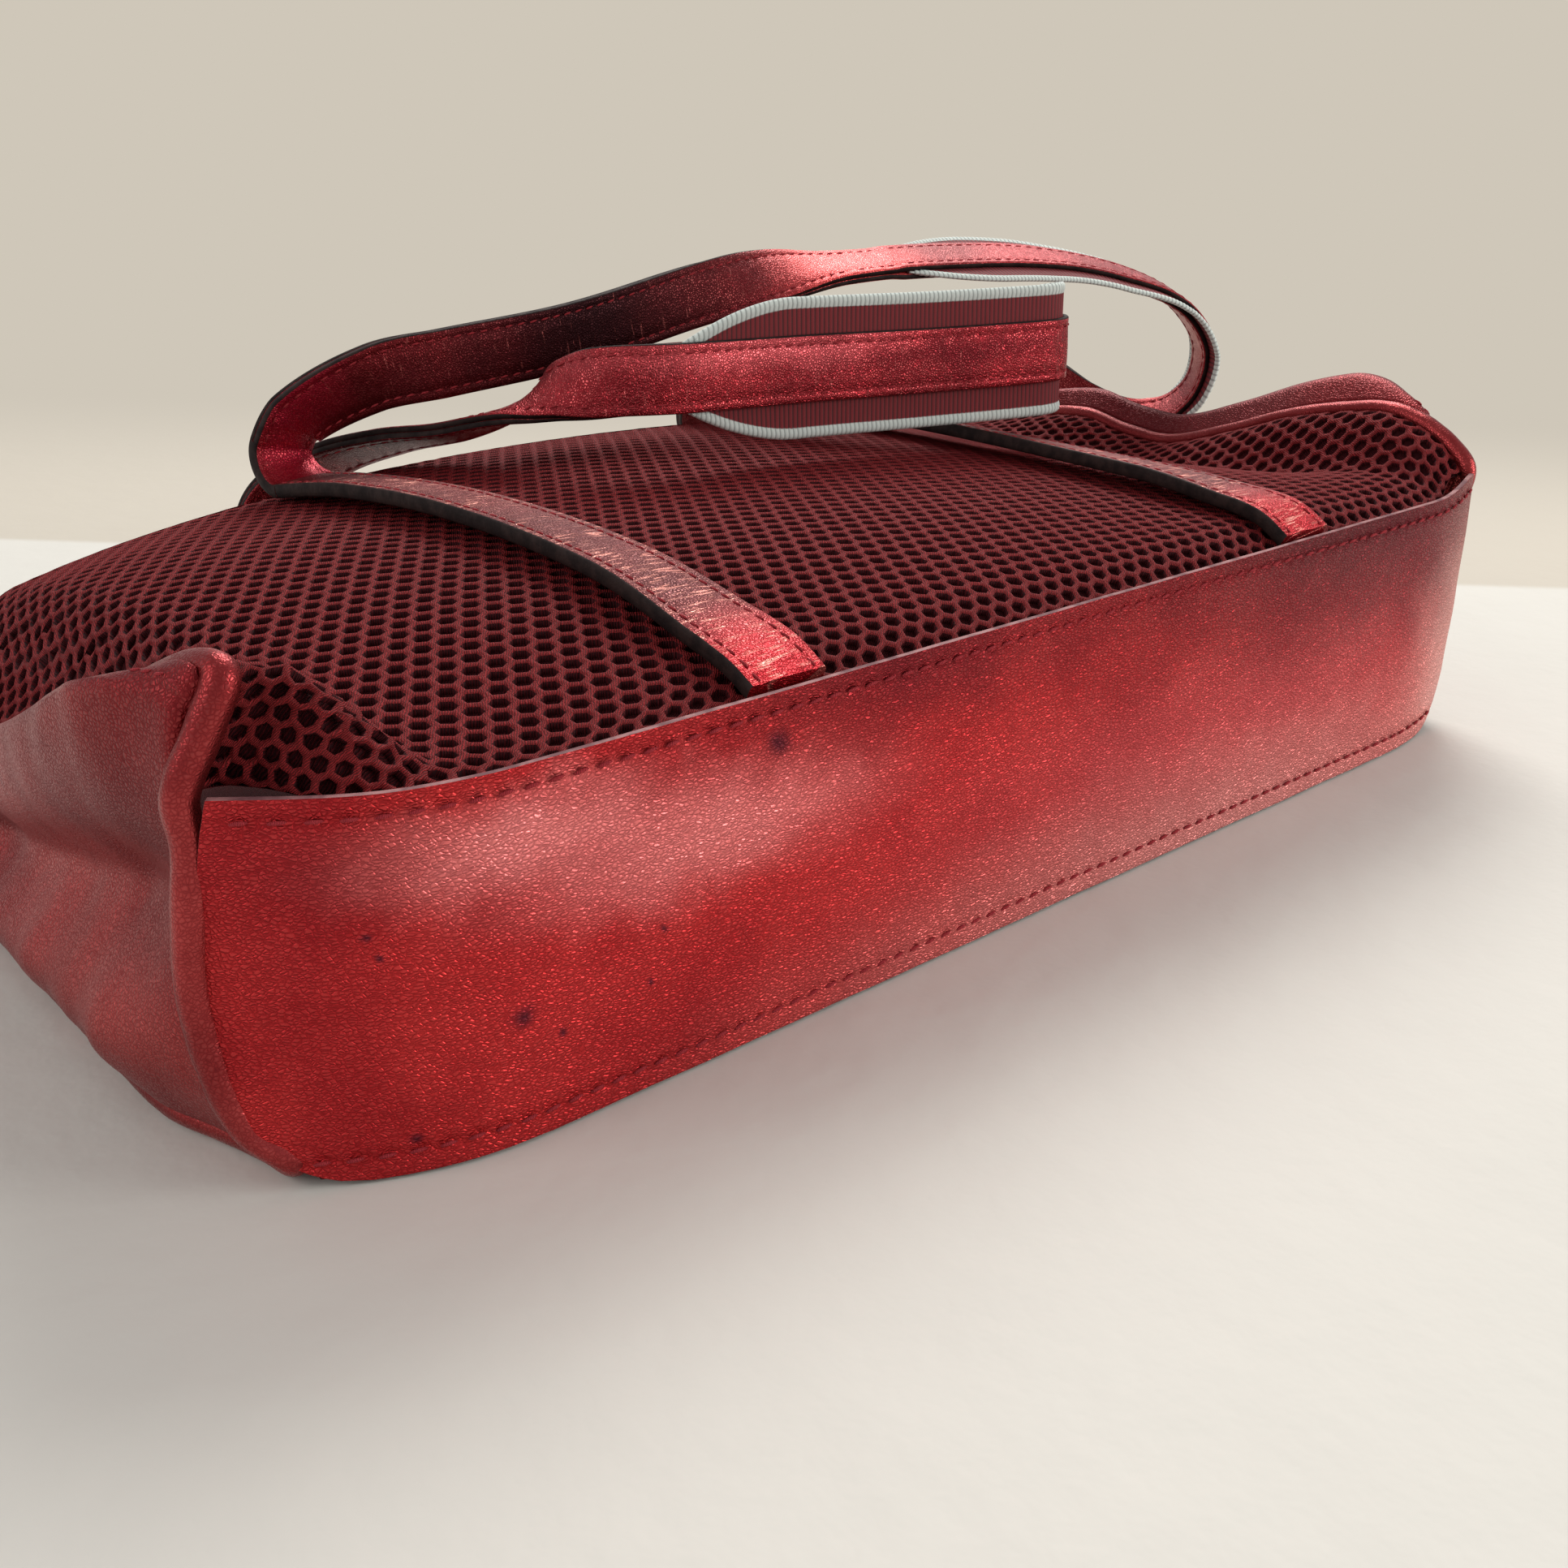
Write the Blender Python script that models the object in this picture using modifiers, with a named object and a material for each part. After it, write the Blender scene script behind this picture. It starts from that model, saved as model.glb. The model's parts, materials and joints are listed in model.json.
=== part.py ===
"""A small handbag lying on its back panel.

A stiff leather base, mesh front and back, leather gussets with piped seams, four straps and two handles.
X runs along the base, Y from the base to the rim and Z up from the surface that the bag lies on.
Lengths are in metres. The origin is in the middle of the back panel's outer face.
"""
import math

import bmesh
import bpy
from mathutils import Vector

# Body
BASE_LENGTH = 0.300
BASE_DEPTH = 0.0602
BASE_LIFT = 0.0005
BASE_CORNER_RADIUS = 0.013
BASE_END_BOW = 0.005
BODY_HEIGHT = 0.176
SIDE_LINE_X = 0.152
SIDE_FLARE = 0.050
BACK_CORNER = 0.007

# The base's ends curl back from the flat middle: where each starts and how far back its tip stands
LEFT_CURL_START = 0.112
LEFT_CURL = 0.014
RIGHT_CURL_START = 0.120
RIGHT_CURL = 0.005
CORNER_FLICK = 0.002

# Materials' thickness
LEATHER = 0.0014
MESH = 0.0020
LINING = 0.0006
BASE_LEATHER = 0.0016
BOARD = 0.0020
RIBBON = 0.0006

# Seams and clearances
GAP = 0.0003
LAYER_GAP = 0.0005
LINING_EASE = 0.0012
GUSSET_LINING_EASE = 0.0010
BEAD_RADIUS = 0.0023
BEAD_OUTSIDE = 0.0015
BASE_EASE = 0.0014
GUSSET_EASE = 0.0006
STRAP_END_EASE = 0.0009
TUCK = 0.0035
BOARD_MARGIN = 0.0075
BOARD_END_MARGIN = 0.038
FACING_HEIGHT = 0.022

# Straps and handles
STRAP_WIDTH = 0.0152
LEFT_STRAP_FOOT_X = -0.0660
LEFT_STRAP_RIM_X = -0.0690
RIGHT_STRAP_FOOT_X = 0.0780
RIGHT_STRAP_RIM_X = 0.0880
LEFT_STRAP_SWAY = 0.0065
RIBBON_WIDTH = 0.032
FRONT_RIBBON_START = 0.192
BACK_RIBBON_START = 0.176
RIBBON_LENGTH = 0.134
FRONT_AXIS_BEYOND_RIM = 0.0012
BACK_AXIS_BEYOND_RIM = 0.0030
HANDLE_SEGMENTS = 100
TURN_WEIGHT = 0.020

STRAP_THICKNESS = 2 * LEATHER + GAP
HINGE_CLEARANCE = STRAP_THICKNESS / 2 + GAP
STRAP_RECESS = STRAP_THICKNESS + LAYER_GAP
RECESS_SHOULDER = 0.007
FRONT_EDGE = BASE_LIFT + BASE_DEPTH - TUCK
BEAD_OFFSET = BEAD_RADIUS + GAP
MESH_EDGE = BEAD_OFFSET + MESH / 2

# The front seams. Each station: place along the seam from the base (0) to the rim (1), how far it leans
# in from the side line, its height up the bag as a share, and its rise over the tucked edge of the mesh.
LEFT_SEAM = (
    (0.00, 0.0010, 0.098, 0.0040),
    (0.03, 0.0050, 0.090, 0.0130),
    (0.06, 0.0080, 0.090, 0.0190),
    (0.10, 0.0075, 0.130, 0.0185),
    (0.18, 0.0058, 0.205, 0.0125),
    (0.34, 0.0043, 0.370, -0.0010),
    (0.56, 0.0035, 0.574, -0.0140),
    (0.78, 0.0020, 0.784, -0.0235),
    (1.00, 0.0000, 1.000, -0.0300),
)
RIGHT_SEAM = (
    (0.00, 0.0000, 0.038, 0.0055),
    (0.04, 0.0000, 0.077, 0.0120),
    (0.09, 0.0000, 0.140, 0.0160),
    (0.15, 0.0000, 0.190, 0.0162),
    (0.30, 0.0000, 0.315, 0.0115),
    (0.40, 0.0000, 0.385, 0.0070),
    (0.55, 0.0000, 0.535, -0.0015),
    (0.66, 0.0000, 0.630, -0.0015),
    (0.78, 0.0000, 0.730, 0.0010),
    (1.00, 0.0000, 1.000, -0.0060),
)

# The front panel's pillow: its rise over the tucked edge, at stations across and up the panel
PILLOW_ACROSS = (-0.93, -0.83, -0.44, 0.0, 0.50, 0.78, 0.90)
PILLOW_UP = (0.0, 0.05, 0.12, 0.30, 0.60, 0.85, 1.0)
PILLOW_RISE = (
    (0.0030, 0.0000, 0.0002, 0.0000, 0.0002, 0.0005, 0.0020),
    (0.0140, 0.0005, 0.0040, 0.0040, 0.0045, 0.0040, 0.0050),
    (0.0100, 0.0010, 0.0055, 0.0065, 0.0052, 0.0050, 0.0050),
    (-0.0010, 0.0030, 0.0082, 0.0090, 0.0055, 0.0030, -0.0010),
    (-0.0090, 0.0030, 0.0082, 0.0093, 0.0052, -0.0010, -0.0050),
    (-0.0150, -0.0020, 0.0052, 0.0087, 0.0040, -0.0020, -0.0040),
    (-0.0190, -0.0080, 0.0028, 0.0060, 0.0028, -0.0030, -0.0060),
)

# The gussets are pushed in between the panels: a crest by the front seam, a valley, a belly by the back
GUSSET_ACROSS = (0.0, 0.12, 0.30, 0.50, 0.80, 1.0)
GUSSET_OUTWARD = (0.0, 0.0050, 0.0010, -0.0090, 0.0020, 0.0)
LEFT_CREST = 0.0090
RIGHT_CREST = 0.0125
GUSSET_RAMP = 0.24
GUSSET_FULL_DEPTH = 0.062


def through(knots, values, t):
    """Value at t of the smooth curve that passes through the values standing at the knots."""
    last = len(knots) - 1
    i = 0
    while i < last - 1 and t > knots[i + 1]:
        i += 1
    step = knots[i + 1] - knots[i]
    s = (t - knots[i]) / step
    slopes = []
    for k in (i, i + 1):
        before, after = max(k - 1, 0), min(k + 1, last)
        slopes.append((values[after] - values[before]) * (step / (knots[after] - knots[before])))
    start, end = values[i], values[i + 1]
    return (start * (2 * s ** 3 - 3 * s ** 2 + 1) + slopes[0] * (s ** 3 - 2 * s ** 2 + s)
            + end * (3 * s ** 2 - 2 * s ** 3) + slopes[1] * (s ** 3 - s ** 2))


def chord_knots(points):
    """Knots for a curve through points in space: the length run so far, from chord to chord."""
    knots = [0.0]
    for a, b in zip(points, points[1:]):
        knots.append(knots[-1] + (b - a).length)
    return knots


def evenly(start, stop, count):
    """Values from start to stop in equal steps."""
    return [start + (stop - start) * i / count for i in range(count + 1)]


def smoothstep(t):
    """0 before 0, 1 after 1, and a smooth rise between."""
    t = min(max(t, 0.0), 1.0)
    return t * t * (3 - 2 * t)


# The body's shape, in bag coordinates: Y counts from the base panel's inner face

def base_back(x):
    """How far the base's curled end stands back at x; the middle of the base is flat."""
    start, curl = (LEFT_CURL_START, LEFT_CURL) if x < 0 else (RIGHT_CURL_START, RIGHT_CURL)
    beyond = max(abs(x) - start, 0.0) / (BASE_LENGTH / 2 - start)
    return curl * beyond ** 2


def base_point(u, share):
    """Point on the base panel's inner face; u runs from end to end, share from the floor edge up."""
    x = u * base_half_length(share)
    flick = CORNER_FLICK * smoothstep((abs(u) - 0.85) / 0.15) * share
    return Vector((x, base_back(x), BASE_LIFT + share * BASE_DEPTH + flick))


def base_half_length(share):
    """Half the base's length at a share of its depth: bowed ends, round corners by the back edge."""
    bow = BASE_END_BOW * math.sin(math.pi * share)
    from_back = max(share, 0.0) * BASE_DEPTH
    cut = 0.0
    if from_back < BASE_CORNER_RADIUS:
        below = BASE_CORNER_RADIUS - from_back
        cut = BASE_CORNER_RADIUS - math.sqrt(BASE_CORNER_RADIUS ** 2 - below ** 2)
    return BASE_LENGTH / 2 + bow - cut


def seam_point(side, v):
    """Centre of the front seam's bead at the station v, from 0 at the base to 1 at the rim."""
    stations = RIGHT_SEAM if side > 0 else LEFT_SEAM
    knots = [station[0] for station in stations]
    lean, share, rise = (through(knots, [station[k] for station in stations], v) for k in (1, 2, 3))
    y = share * BODY_HEIGHT
    return Vector((side * (SIDE_LINE_X + SIDE_FLARE * y - lean), y, FRONT_EDGE + rise))


def pillow_rise(u, v):
    """Rise of the front panel's middle over its tucked edge."""
    rows = [through(PILLOW_ACROSS, row, u) for row in PILLOW_RISE]
    return through(PILLOW_UP, rows, v)


def mesh_edges(v):
    """X of the front mesh's two side edges, beside the beads."""
    return seam_point(-1, v).x + MESH_EDGE, seam_point(1, v).x - MESH_EDGE


def front_point(u, v):
    """Point on the front mesh's outer face; u runs from -1 at the left seam to 1 at the right seam."""
    side = -1 if u < 0 else 1
    left, right = mesh_edges(v)
    x = left + (right - left) * (u + 1) / 2
    start = base_back(x) + BASE_EASE
    middle = Vector((x, start + (BODY_HEIGHT - start) * v, FRONT_EDGE + pillow_rise(u, v)))
    edge = abs(PILLOW_ACROSS[0] if side < 0 else PILLOW_ACROSS[-1])
    near_seam = smoothstep((abs(u) - edge) / (1 - edge))
    seam = seam_point(side, v)
    seam.x = x
    return middle.lerp(seam, near_seam)


def back_half_width(side, y):
    """X of the back seam's bead: the side line, drawn in round the base's corner."""
    drawn_in = 1 - smoothstep((y - base_back(side * BASE_LENGTH / 2)) / 0.03)
    return SIDE_LINE_X + SIDE_FLARE * y - BACK_CORNER * drawn_in


def back_lift(x, y):
    """How far the back panel is lifted over the two straps that it lies on."""
    nearest = min(abs(x - strap_x(side, y)) for side in (-1, 1))
    beside = (nearest - STRAP_WIDTH / 2 - LAYER_GAP) / RECESS_SHOULDER
    return STRAP_RECESS * (1 - smoothstep(beside))


def strap_x(side, y):
    """X of a strap's middle: the straps spread a little towards the rim."""
    foot, rim = ((LEFT_STRAP_FOOT_X, LEFT_STRAP_RIM_X) if side < 0
                 else (RIGHT_STRAP_FOOT_X, RIGHT_STRAP_RIM_X))
    return foot + (rim - foot) * y / BODY_HEIGHT


def offset_from(point_at, u, v, distance, step=0.002):
    """Point at a distance from a face given by point_at(u, v), along the face's own normal."""
    across = point_at(u + step, v) - point_at(u - step, v)
    along = point_at(u, v + step) - point_at(u, v - step)
    return point_at(u, v) + across.cross(along).normalized() * distance


def bead_route(side):
    """The bead's points: down the front seam, round the end of the base and up the back seam."""
    points = [seam_point(side, v) for v in (1, 0.89, 0.78, 0.67, 0.56, 0.45, 0.34, 0.26, 0.18, 0.14, 0.10,
                                            0.08, 0.06, 0.03, 0.0)]
    for share in (0.85, 0.7, 0.5, 0.3, 0.15, 0.06):
        edge = base_point(side, share)
        outward = (edge - base_point(0.99 * side, share)).normalized()
        point = offset_from(base_point, side, share, -BEAD_OFFSET) + outward * BEAD_OUTSIDE
        point.z = max(point.z, BEAD_RADIUS)
        points.append(point)
    end_y = points[-1].y
    for run in (0.005, 0.014, 0.026, 0.045, 0.07, 0.1, 0.13):
        y = end_y + run
        points.append(Vector((side * back_half_width(side, y), y, BEAD_RADIUS)))
    points.append(Vector((side * back_half_width(side, BODY_HEIGHT), BODY_HEIGHT, BEAD_RADIUS)))
    return points


FRONT_CORNER_POINT = 14
BACK_CORNER_POINT = 20


def gusset_edges(side):
    """The gusset's four edges as curves: front seam, back seam, end of the base, rim."""
    route = bead_route(side)
    knots = chord_knots(route)
    front_corner = knots[FRONT_CORNER_POINT]
    back_corner = knots[BACK_CORNER_POINT]

    def beside_bead(run):
        """Point beside the bead where the gusset's edge is sewn, on the gusset's side of it."""
        here = through(knots, route, run)
        ahead = through(knots, route, min(run + 0.001, knots[-1]))
        behind = through(knots, route, max(run - 0.001, 0.0))
        along = (ahead - behind).normalized()
        past_front = smoothstep((run - front_corner + 0.026) / 0.018)
        past_end = smoothstep((run - back_corner + 0.010) / 0.016)
        beside = Vector((side, 0.0, 0.5)).lerp(Vector((0.5 * side, 1.0, 0.0)), past_front)
        beside = beside.lerp(Vector((0.8 * side, 0.0, 1.0)), past_end)
        beside = (beside - along * beside.dot(along)).normalized()
        return here + beside * (BEAD_OFFSET + GUSSET_EASE + LEATHER / 2)

    def front(v):
        return beside_bead(front_corner * (1 - v))

    def back(v):
        return beside_bead(back_corner + (knots[-1] - back_corner) * v)

    def end(w):
        return beside_bead(front_corner + (back_corner - front_corner) * w)

    def rim(w):
        return front(1).lerp(back(1), w)

    return front, back, end, rim


def gusset_place(side):
    """A gusset's mid surface: w runs from the front seam to the back seam, v from the base to the rim."""
    front, back, end, rim = gusset_edges(side)
    crest = RIGHT_CREST if side > 0 else LEFT_CREST
    raised = (0.0, crest, 0.35 * crest, 0.0, 0.0, 0.0)

    def place(w, v):
        across = front(v).lerp(back(v), w)
        along = end(w).lerp(rim(w), v)
        corners = front(0).lerp(back(0), w).lerp(front(1).lerp(back(1), w), v)
        point = across + along - corners
        ramp = smoothstep(v / GUSSET_RAMP) * (front(v) - back(v)).length / GUSSET_FULL_DEPTH
        point.x += side * ramp * through(GUSSET_ACROSS, GUSSET_OUTWARD, w)
        point.z += ramp * through(GUSSET_ACROSS, raised, w)
        return point

    return place


# Making pieces

def clear_scene():
    """Removes what the file opened with."""
    for obj in list(bpy.data.objects):
        bpy.data.objects.remove(obj, do_unlink=True)


def material(name, colour, roughness, metallic=0.0):
    """A plain material with a colour, a roughness and a metallic value."""
    made = bpy.data.materials.new(name)
    made.use_nodes = True
    shader = made.node_tree.nodes["Principled BSDF"]
    shader.inputs["Base Color"].default_value = (*colour, 1.0)
    shader.inputs["Roughness"].default_value = roughness
    shader.inputs["Metallic"].default_value = metallic
    return made


def finish(obj, made, parent):
    """Puts a new piece in the bag's collection, gives it its material and hangs it on its parent."""
    for collection in list(obj.users_collection):
        collection.objects.unlink(obj)
    bpy.data.collections["handbag"].objects.link(obj)
    obj.data.materials.clear()
    obj.data.materials.append(made)
    obj.parent = parent
    return obj


def sheet(name, place, us, vs, thickness, made, parent):
    """A soft sheet: a grid laid on its mid surface place(u, v), thickened with Solidify."""
    columns, rows = len(us) - 1, len(vs) - 1
    bm = bmesh.new()
    bmesh.ops.create_grid(bm, x_segments=columns, y_segments=rows, size=1.0)
    for vert in bm.verts:
        i = round((vert.co.x + 1) / 2 * columns)
        j = round((vert.co.y + 1) / 2 * rows)
        vert.co = place(us[i], vs[j])
    mesh = bpy.data.meshes.new(name)
    bm.to_mesh(mesh)
    bm.free()
    mesh.shade_smooth()
    obj = bpy.data.objects.new(name, mesh)
    bpy.context.scene.collection.objects.link(obj)
    solidify = obj.modifiers.new("thickness", 'SOLIDIFY')
    solidify.thickness = thickness
    solidify.offset = 0.0
    return finish(obj, made, parent)


def cord(name, points, radius, made, parent):
    """A round cord along the points."""
    curve = bpy.data.curves.new(name, 'CURVE')
    curve.dimensions = '3D'
    curve.bevel_depth = radius
    curve.bevel_resolution = 2
    curve.use_fill_caps = True
    spline = curve.splines.new('POLY')
    spline.points.add(len(points) - 1)
    for slot, point in zip(spline.points, points):
        slot.co = (*point, 1.0)
    obj = bpy.data.objects.new(name, curve)
    bpy.context.scene.collection.objects.link(obj)
    return finish(obj, made, parent)


def make_base(made, parent):
    """The leather base panel, the board that stiffens it and the lining over the board."""
    shares = [0, 0.012, 0.035, 0.07, 0.12, 0.17, 0.216, 0.35, 0.5, 0.65, 0.8, 1]
    across = [-1, -0.985, -0.96, -0.93, -0.89, -0.85, -0.81, -0.77, -0.72, 0, 0.76, 0.82, 0.87, 0.91,
              0.95, 0.98, 1]

    def panel(u, share):
        return offset_from(base_point, u, share, BASE_LEATHER / 2)

    sheet("base_panel", panel, across, shares, BASE_LEATHER, made["leather"], parent)
    low = BASE_LIFT + BOARD_MARGIN
    high = BASE_LIFT + BASE_DEPTH - BOARD_MARGIN
    half = BASE_LENGTH / 2 - BOARD_END_MARGIN
    bm = bmesh.new()
    bmesh.ops.create_cube(bm, size=1.0)
    bmesh.ops.scale(bm, verts=bm.verts, vec=(2 * half, BOARD, high - low))
    mesh = bpy.data.meshes.new("base_board")
    bm.to_mesh(mesh)
    bm.free()
    board = bpy.data.objects.new("base_board", mesh)
    bpy.context.scene.collection.objects.link(board)
    board.location = (0.0, GAP + BOARD / 2, (low + high) / 2)
    finish(board, made["board"], parent)
    lining_x = BASE_LENGTH / 2 - BOARD_MARGIN

    def lining(u, w):
        x = u * lining_x
        return Vector((x, base_back(x) + BOARD + 2 * GAP + LINING / 2, low + (high - low) * w))

    inner = [u for u in across if abs(u) < 0.98]
    sheet("base_lining", lining, inner, evenly(0, 1, 2), LINING, made["lining"], parent)


PANEL_ACROSS = ([-1, -0.985, -0.965, -0.945, -0.925, -0.90, -0.87, -0.83, -0.75, -0.65]
                + evenly(-0.54, 0.54, 9) + [0.65, 0.74, 0.80, 0.86, 0.90, 0.935, 0.97, 1])
PANEL_UP = [0, 0.015, 0.03, 0.05, 0.07, 0.095, 0.12, 0.16, 0.22] + evenly(0.30, 1.0, 8)


def lining_stations(rows):
    """Stations up the bag from the base lining to the facing."""
    start = (max(LEFT_CURL, RIGHT_CURL) * 0.5 + BOARD + 3 * GAP + LINING) / BODY_HEIGHT
    stop = 1 - (FACING_HEIGHT + 2 * GAP) / BODY_HEIGHT
    return evenly(start, stop, rows)


def make_front(made, parent):
    """The front mesh panel with its lining and the leather facing inside the rim."""
    def at_depth(depth):
        return lambda u, v: offset_from(front_point, u, v, -depth)

    sheet("front_mesh_panel", at_depth(MESH / 2), PANEL_ACROSS, PANEL_UP, MESH, made["mesh"], parent)
    facing_v = 1 - FACING_HEIGHT / BODY_HEIGHT
    facing_across = [u for u in PANEL_ACROSS if -0.88 < u < 0.91]
    sheet("front_facing", at_depth(MESH + LAYER_GAP + LEATHER / 2), facing_across, evenly(facing_v, 1, 2),
          LEATHER, made["facing"], parent)
    lining_across = [u for u in PANEL_ACROSS if abs(u) < 0.85]
    sheet("front_lining", at_depth(MESH + LINING_EASE + LINING / 2), lining_across, lining_stations(8),
          LINING, made["lining"], parent)


def make_back(made, parent):
    """The back mesh panel with its lining and the leather facing inside the rim."""
    shoulder = [STRAP_WIDTH / 2 + LAYER_GAP + RECESS_SHOULDER * share for share in (0, 0.25, 0.5, 0.75, 1)]
    def line_x(index, y):
        """X of the lines that run up the panel: its edges, the straps' shoulders and between them."""
        left = -back_half_width(-1, y) + MESH_EDGE
        right = back_half_width(1, y) - MESH_EDGE
        over_left = [strap_x(-1, y) + b for b in [-s for s in reversed(shoulder)] + shoulder]
        over_right = [strap_x(1, y) + b for b in [-s for s in reversed(shoulder)] + shoulder]
        inner = over_left[-1] + (over_right[0] - over_left[-1]) / 2
        lines = [left, (left + over_left[0]) / 2] + over_left + [inner] + over_right
        lines += [(right + over_right[-1]) / 2, right]
        return lines[index]

    columns = list(range(4 * len(shoulder) + 5))
    upward = [0, 0.04, 0.08, 0.13, 0.19] + evenly(0.3, 1, 4)

    def at_depth(depth):
        def place(index, v):
            x = line_x(index, BODY_HEIGHT * v)
            start = base_back(x) + BASE_EASE
            y = start + (BODY_HEIGHT - start) * v
            x = line_x(index, y)
            before = back_lift(x - 0.0005, y)
            after = back_lift(x + 0.0005, y)
            normal = Vector((-(after - before) / 0.001, 0.0, 1.0)).normalized()
            return Vector((x, y, back_lift(x, y))) + normal * depth
        return place

    sheet("back_mesh_panel", at_depth(MESH / 2), columns, upward, MESH, made["mesh"], parent)
    facing_v = 1 - FACING_HEIGHT / BODY_HEIGHT
    inner = columns[1:-1]
    sheet("back_facing", at_depth(MESH + LAYER_GAP + LEATHER / 2), inner, [facing_v, 1], LEATHER,
          made["facing"], parent)
    sheet("back_lining", at_depth(MESH + LAYER_GAP + LINING / 2), inner, lining_stations(3), LINING,
          made["lining"], parent)


def make_side(name, side, made, parent):
    """One side: the gusset, its lining and the piped bead that runs round it."""
    place = gusset_place(side)
    across = [0, 0.08, 0.16, 0.24, 0.32, 0.40, 0.48, 0.56, 0.65, 0.74, 0.83, 0.92, 1]
    upward = [0, 0.06, 0.12, 0.18, 0.24, 0.32, 0.40] + evenly(0.50, 1, 4)
    sheet(f"{name}_gusset", place, across, upward, LEATHER, made["leather"], parent)
    lining_depth = -side * (LEATHER / 2 + GUSSET_LINING_EASE + LINING / 2)

    def lining_place(w, v):
        return offset_from(place, w, v, lining_depth)

    sheet(f"{name}_gusset_lining", lining_place, across[3:-2], evenly(0.15, 0.93, 7), LINING,
          made["lining"], parent)
    route = bead_route(side)
    knots = chord_knots(route)
    points = []
    for run in evenly(0, knots[-1], 84):
        point = through(knots, route, run)
        points.append(Vector((point.x, point.y, max(point.z, BEAD_RADIUS))))
    cord(f"{name}_piping", points, BEAD_RADIUS, made["leather"], parent)


def front_strap_x(side, v):
    """X of a front strap's middle; the soft front lets the left one sway."""
    sway = LEFT_STRAP_SWAY * math.sin(math.pi * min(max(v, 0.0), 1.0)) if side < 0 else 0.0
    return strap_x(side, v * BODY_HEIGHT) + sway


def strap_mid(side, beside, v):
    """Point in the middle of a front strap's thickness, at a distance beside its middle line."""
    x = front_strap_x(side, v) + beside
    left, right = mesh_edges(v)
    u = 2 * (x - left) / (right - left) - 1
    return offset_from(front_point, u, v, LAYER_GAP + STRAP_THICKNESS / 2)


FRONT_AXIS_Y = BODY_HEIGHT + FRONT_AXIS_BEYOND_RIM
FRONT_AXIS_Z = (strap_mid(-1, 0, 1).z + strap_mid(1, 0, 1).z) / 2
BACK_AXIS_Y = BODY_HEIGHT + BACK_AXIS_BEYOND_RIM
BACK_AXIS_Z = STRAP_THICKNESS / 2


def make_front_straps(made, parent):
    """The two straps on the front, from the base seam to the rim."""
    end_v = (FRONT_AXIS_Y - HINGE_CLEARANCE - STRAP_END_EASE) / BODY_HEIGHT
    rows = [0.012] + PANEL_UP[2:-1] + [end_v]
    for name, side in (("front_left_strap", -1), ("front_right_strap", 1)):

        def place(u, v):
            return strap_mid(side, u * STRAP_WIDTH / 2, v)

        sheet(name, place, [-1, -0.33, 0.33, 1], rows, STRAP_THICKNESS, made["leather"], parent)


def make_back_straps(made, parent):
    """The two straps under the back panel, flat on the surface."""
    end_y = BACK_AXIS_Y - HINGE_CLEARANCE - GAP
    for name, side in (("back_left_strap", -1), ("back_right_strap", 1)):

        def place(u, y):
            return Vector((strap_x(side, y) + u * STRAP_WIDTH / 2, y, STRAP_THICKNESS / 2))

        sheet(name, place, [-1, 1], [GAP, end_y], STRAP_THICKNESS, made["leather"], parent)


# Each handle's route: X, distance beyond its axis, height over its axis, and where its outer face looks.
# The front handle stands up from the rim, turns right, rolls over and drops beside the right gusset.
FRONT_ROUTE = (
    (LEFT_STRAP_RIM_X, 0.000, 0.000, (0.0, -1.0, 0.0)),
    (-0.0690, 0.0000, 0.0070, (0.15, -1.0, 0.00)),
    (-0.0655, -0.0035, 0.0150, (0.25, -1.0, 0.00)),
    (-0.0500, -0.0130, 0.0240, (0.20, -1.0, 0.00)),
    (-0.0350, -0.0185, 0.0265, (0.10, -1.0, 0.05)),
    (0.0000, -0.0200, 0.0300, (0.00, -1.0, 0.05)),
    (0.0380, -0.0190, 0.0365, (0.00, -1.0, 0.15)),
    (0.0620, -0.0190, 0.0395, (-0.05, -0.75, 0.65)),
    (0.0830, -0.0200, 0.0405, (0.00, -0.35, 0.95)),
    (0.1200, -0.0265, 0.0410, (0.05, -0.30, 0.95)),
    (0.1500, -0.0340, 0.0395, (0.25, -0.35, 0.90)),
    (0.1720, -0.0450, 0.0350, (0.45, -0.45, 0.75)),
    (0.1880, -0.0550, 0.0275, (0.70, -0.55, 0.45)),
    (0.1960, -0.0610, 0.0150, (0.77, -0.62, 0.10)),
    (0.1950, -0.0600, 0.0020, (0.75, -0.60, -0.30)),
    (0.1905, -0.0520, -0.0070, (0.72, -0.45, -0.60)),
    (0.1870, -0.0390, -0.0100, (0.80, -0.20, -0.60)),
    (0.1850, -0.0250, -0.0070, (0.90, 0.05, -0.40)),
    (0.1830, -0.0090, 0.0000, (0.95, 0.25, -0.15)),
    (0.1760, 0.0080, 0.0080, (0.80, 0.60, 0.00)),
    (0.1600, 0.0210, 0.0130, (0.50, 0.80, 0.35)),
    (0.1400, 0.0270, 0.0155, (0.20, 0.60, 0.80)),
    (0.1200, 0.0260, 0.0150, (-0.05, 0.20, 1.00)),
    (0.1030, 0.0190, 0.0130, (-0.15, -0.25, 1.00)),
    (0.0920, 0.0090, 0.0100, (-0.05, -0.60, 0.80)),
    (0.0885, 0.0020, 0.0060, (0.00, -0.90, 0.40)),
    (RIGHT_STRAP_RIM_X, 0.000, 0.000, (0.0, -1.0, 0.0)),
)

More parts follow.
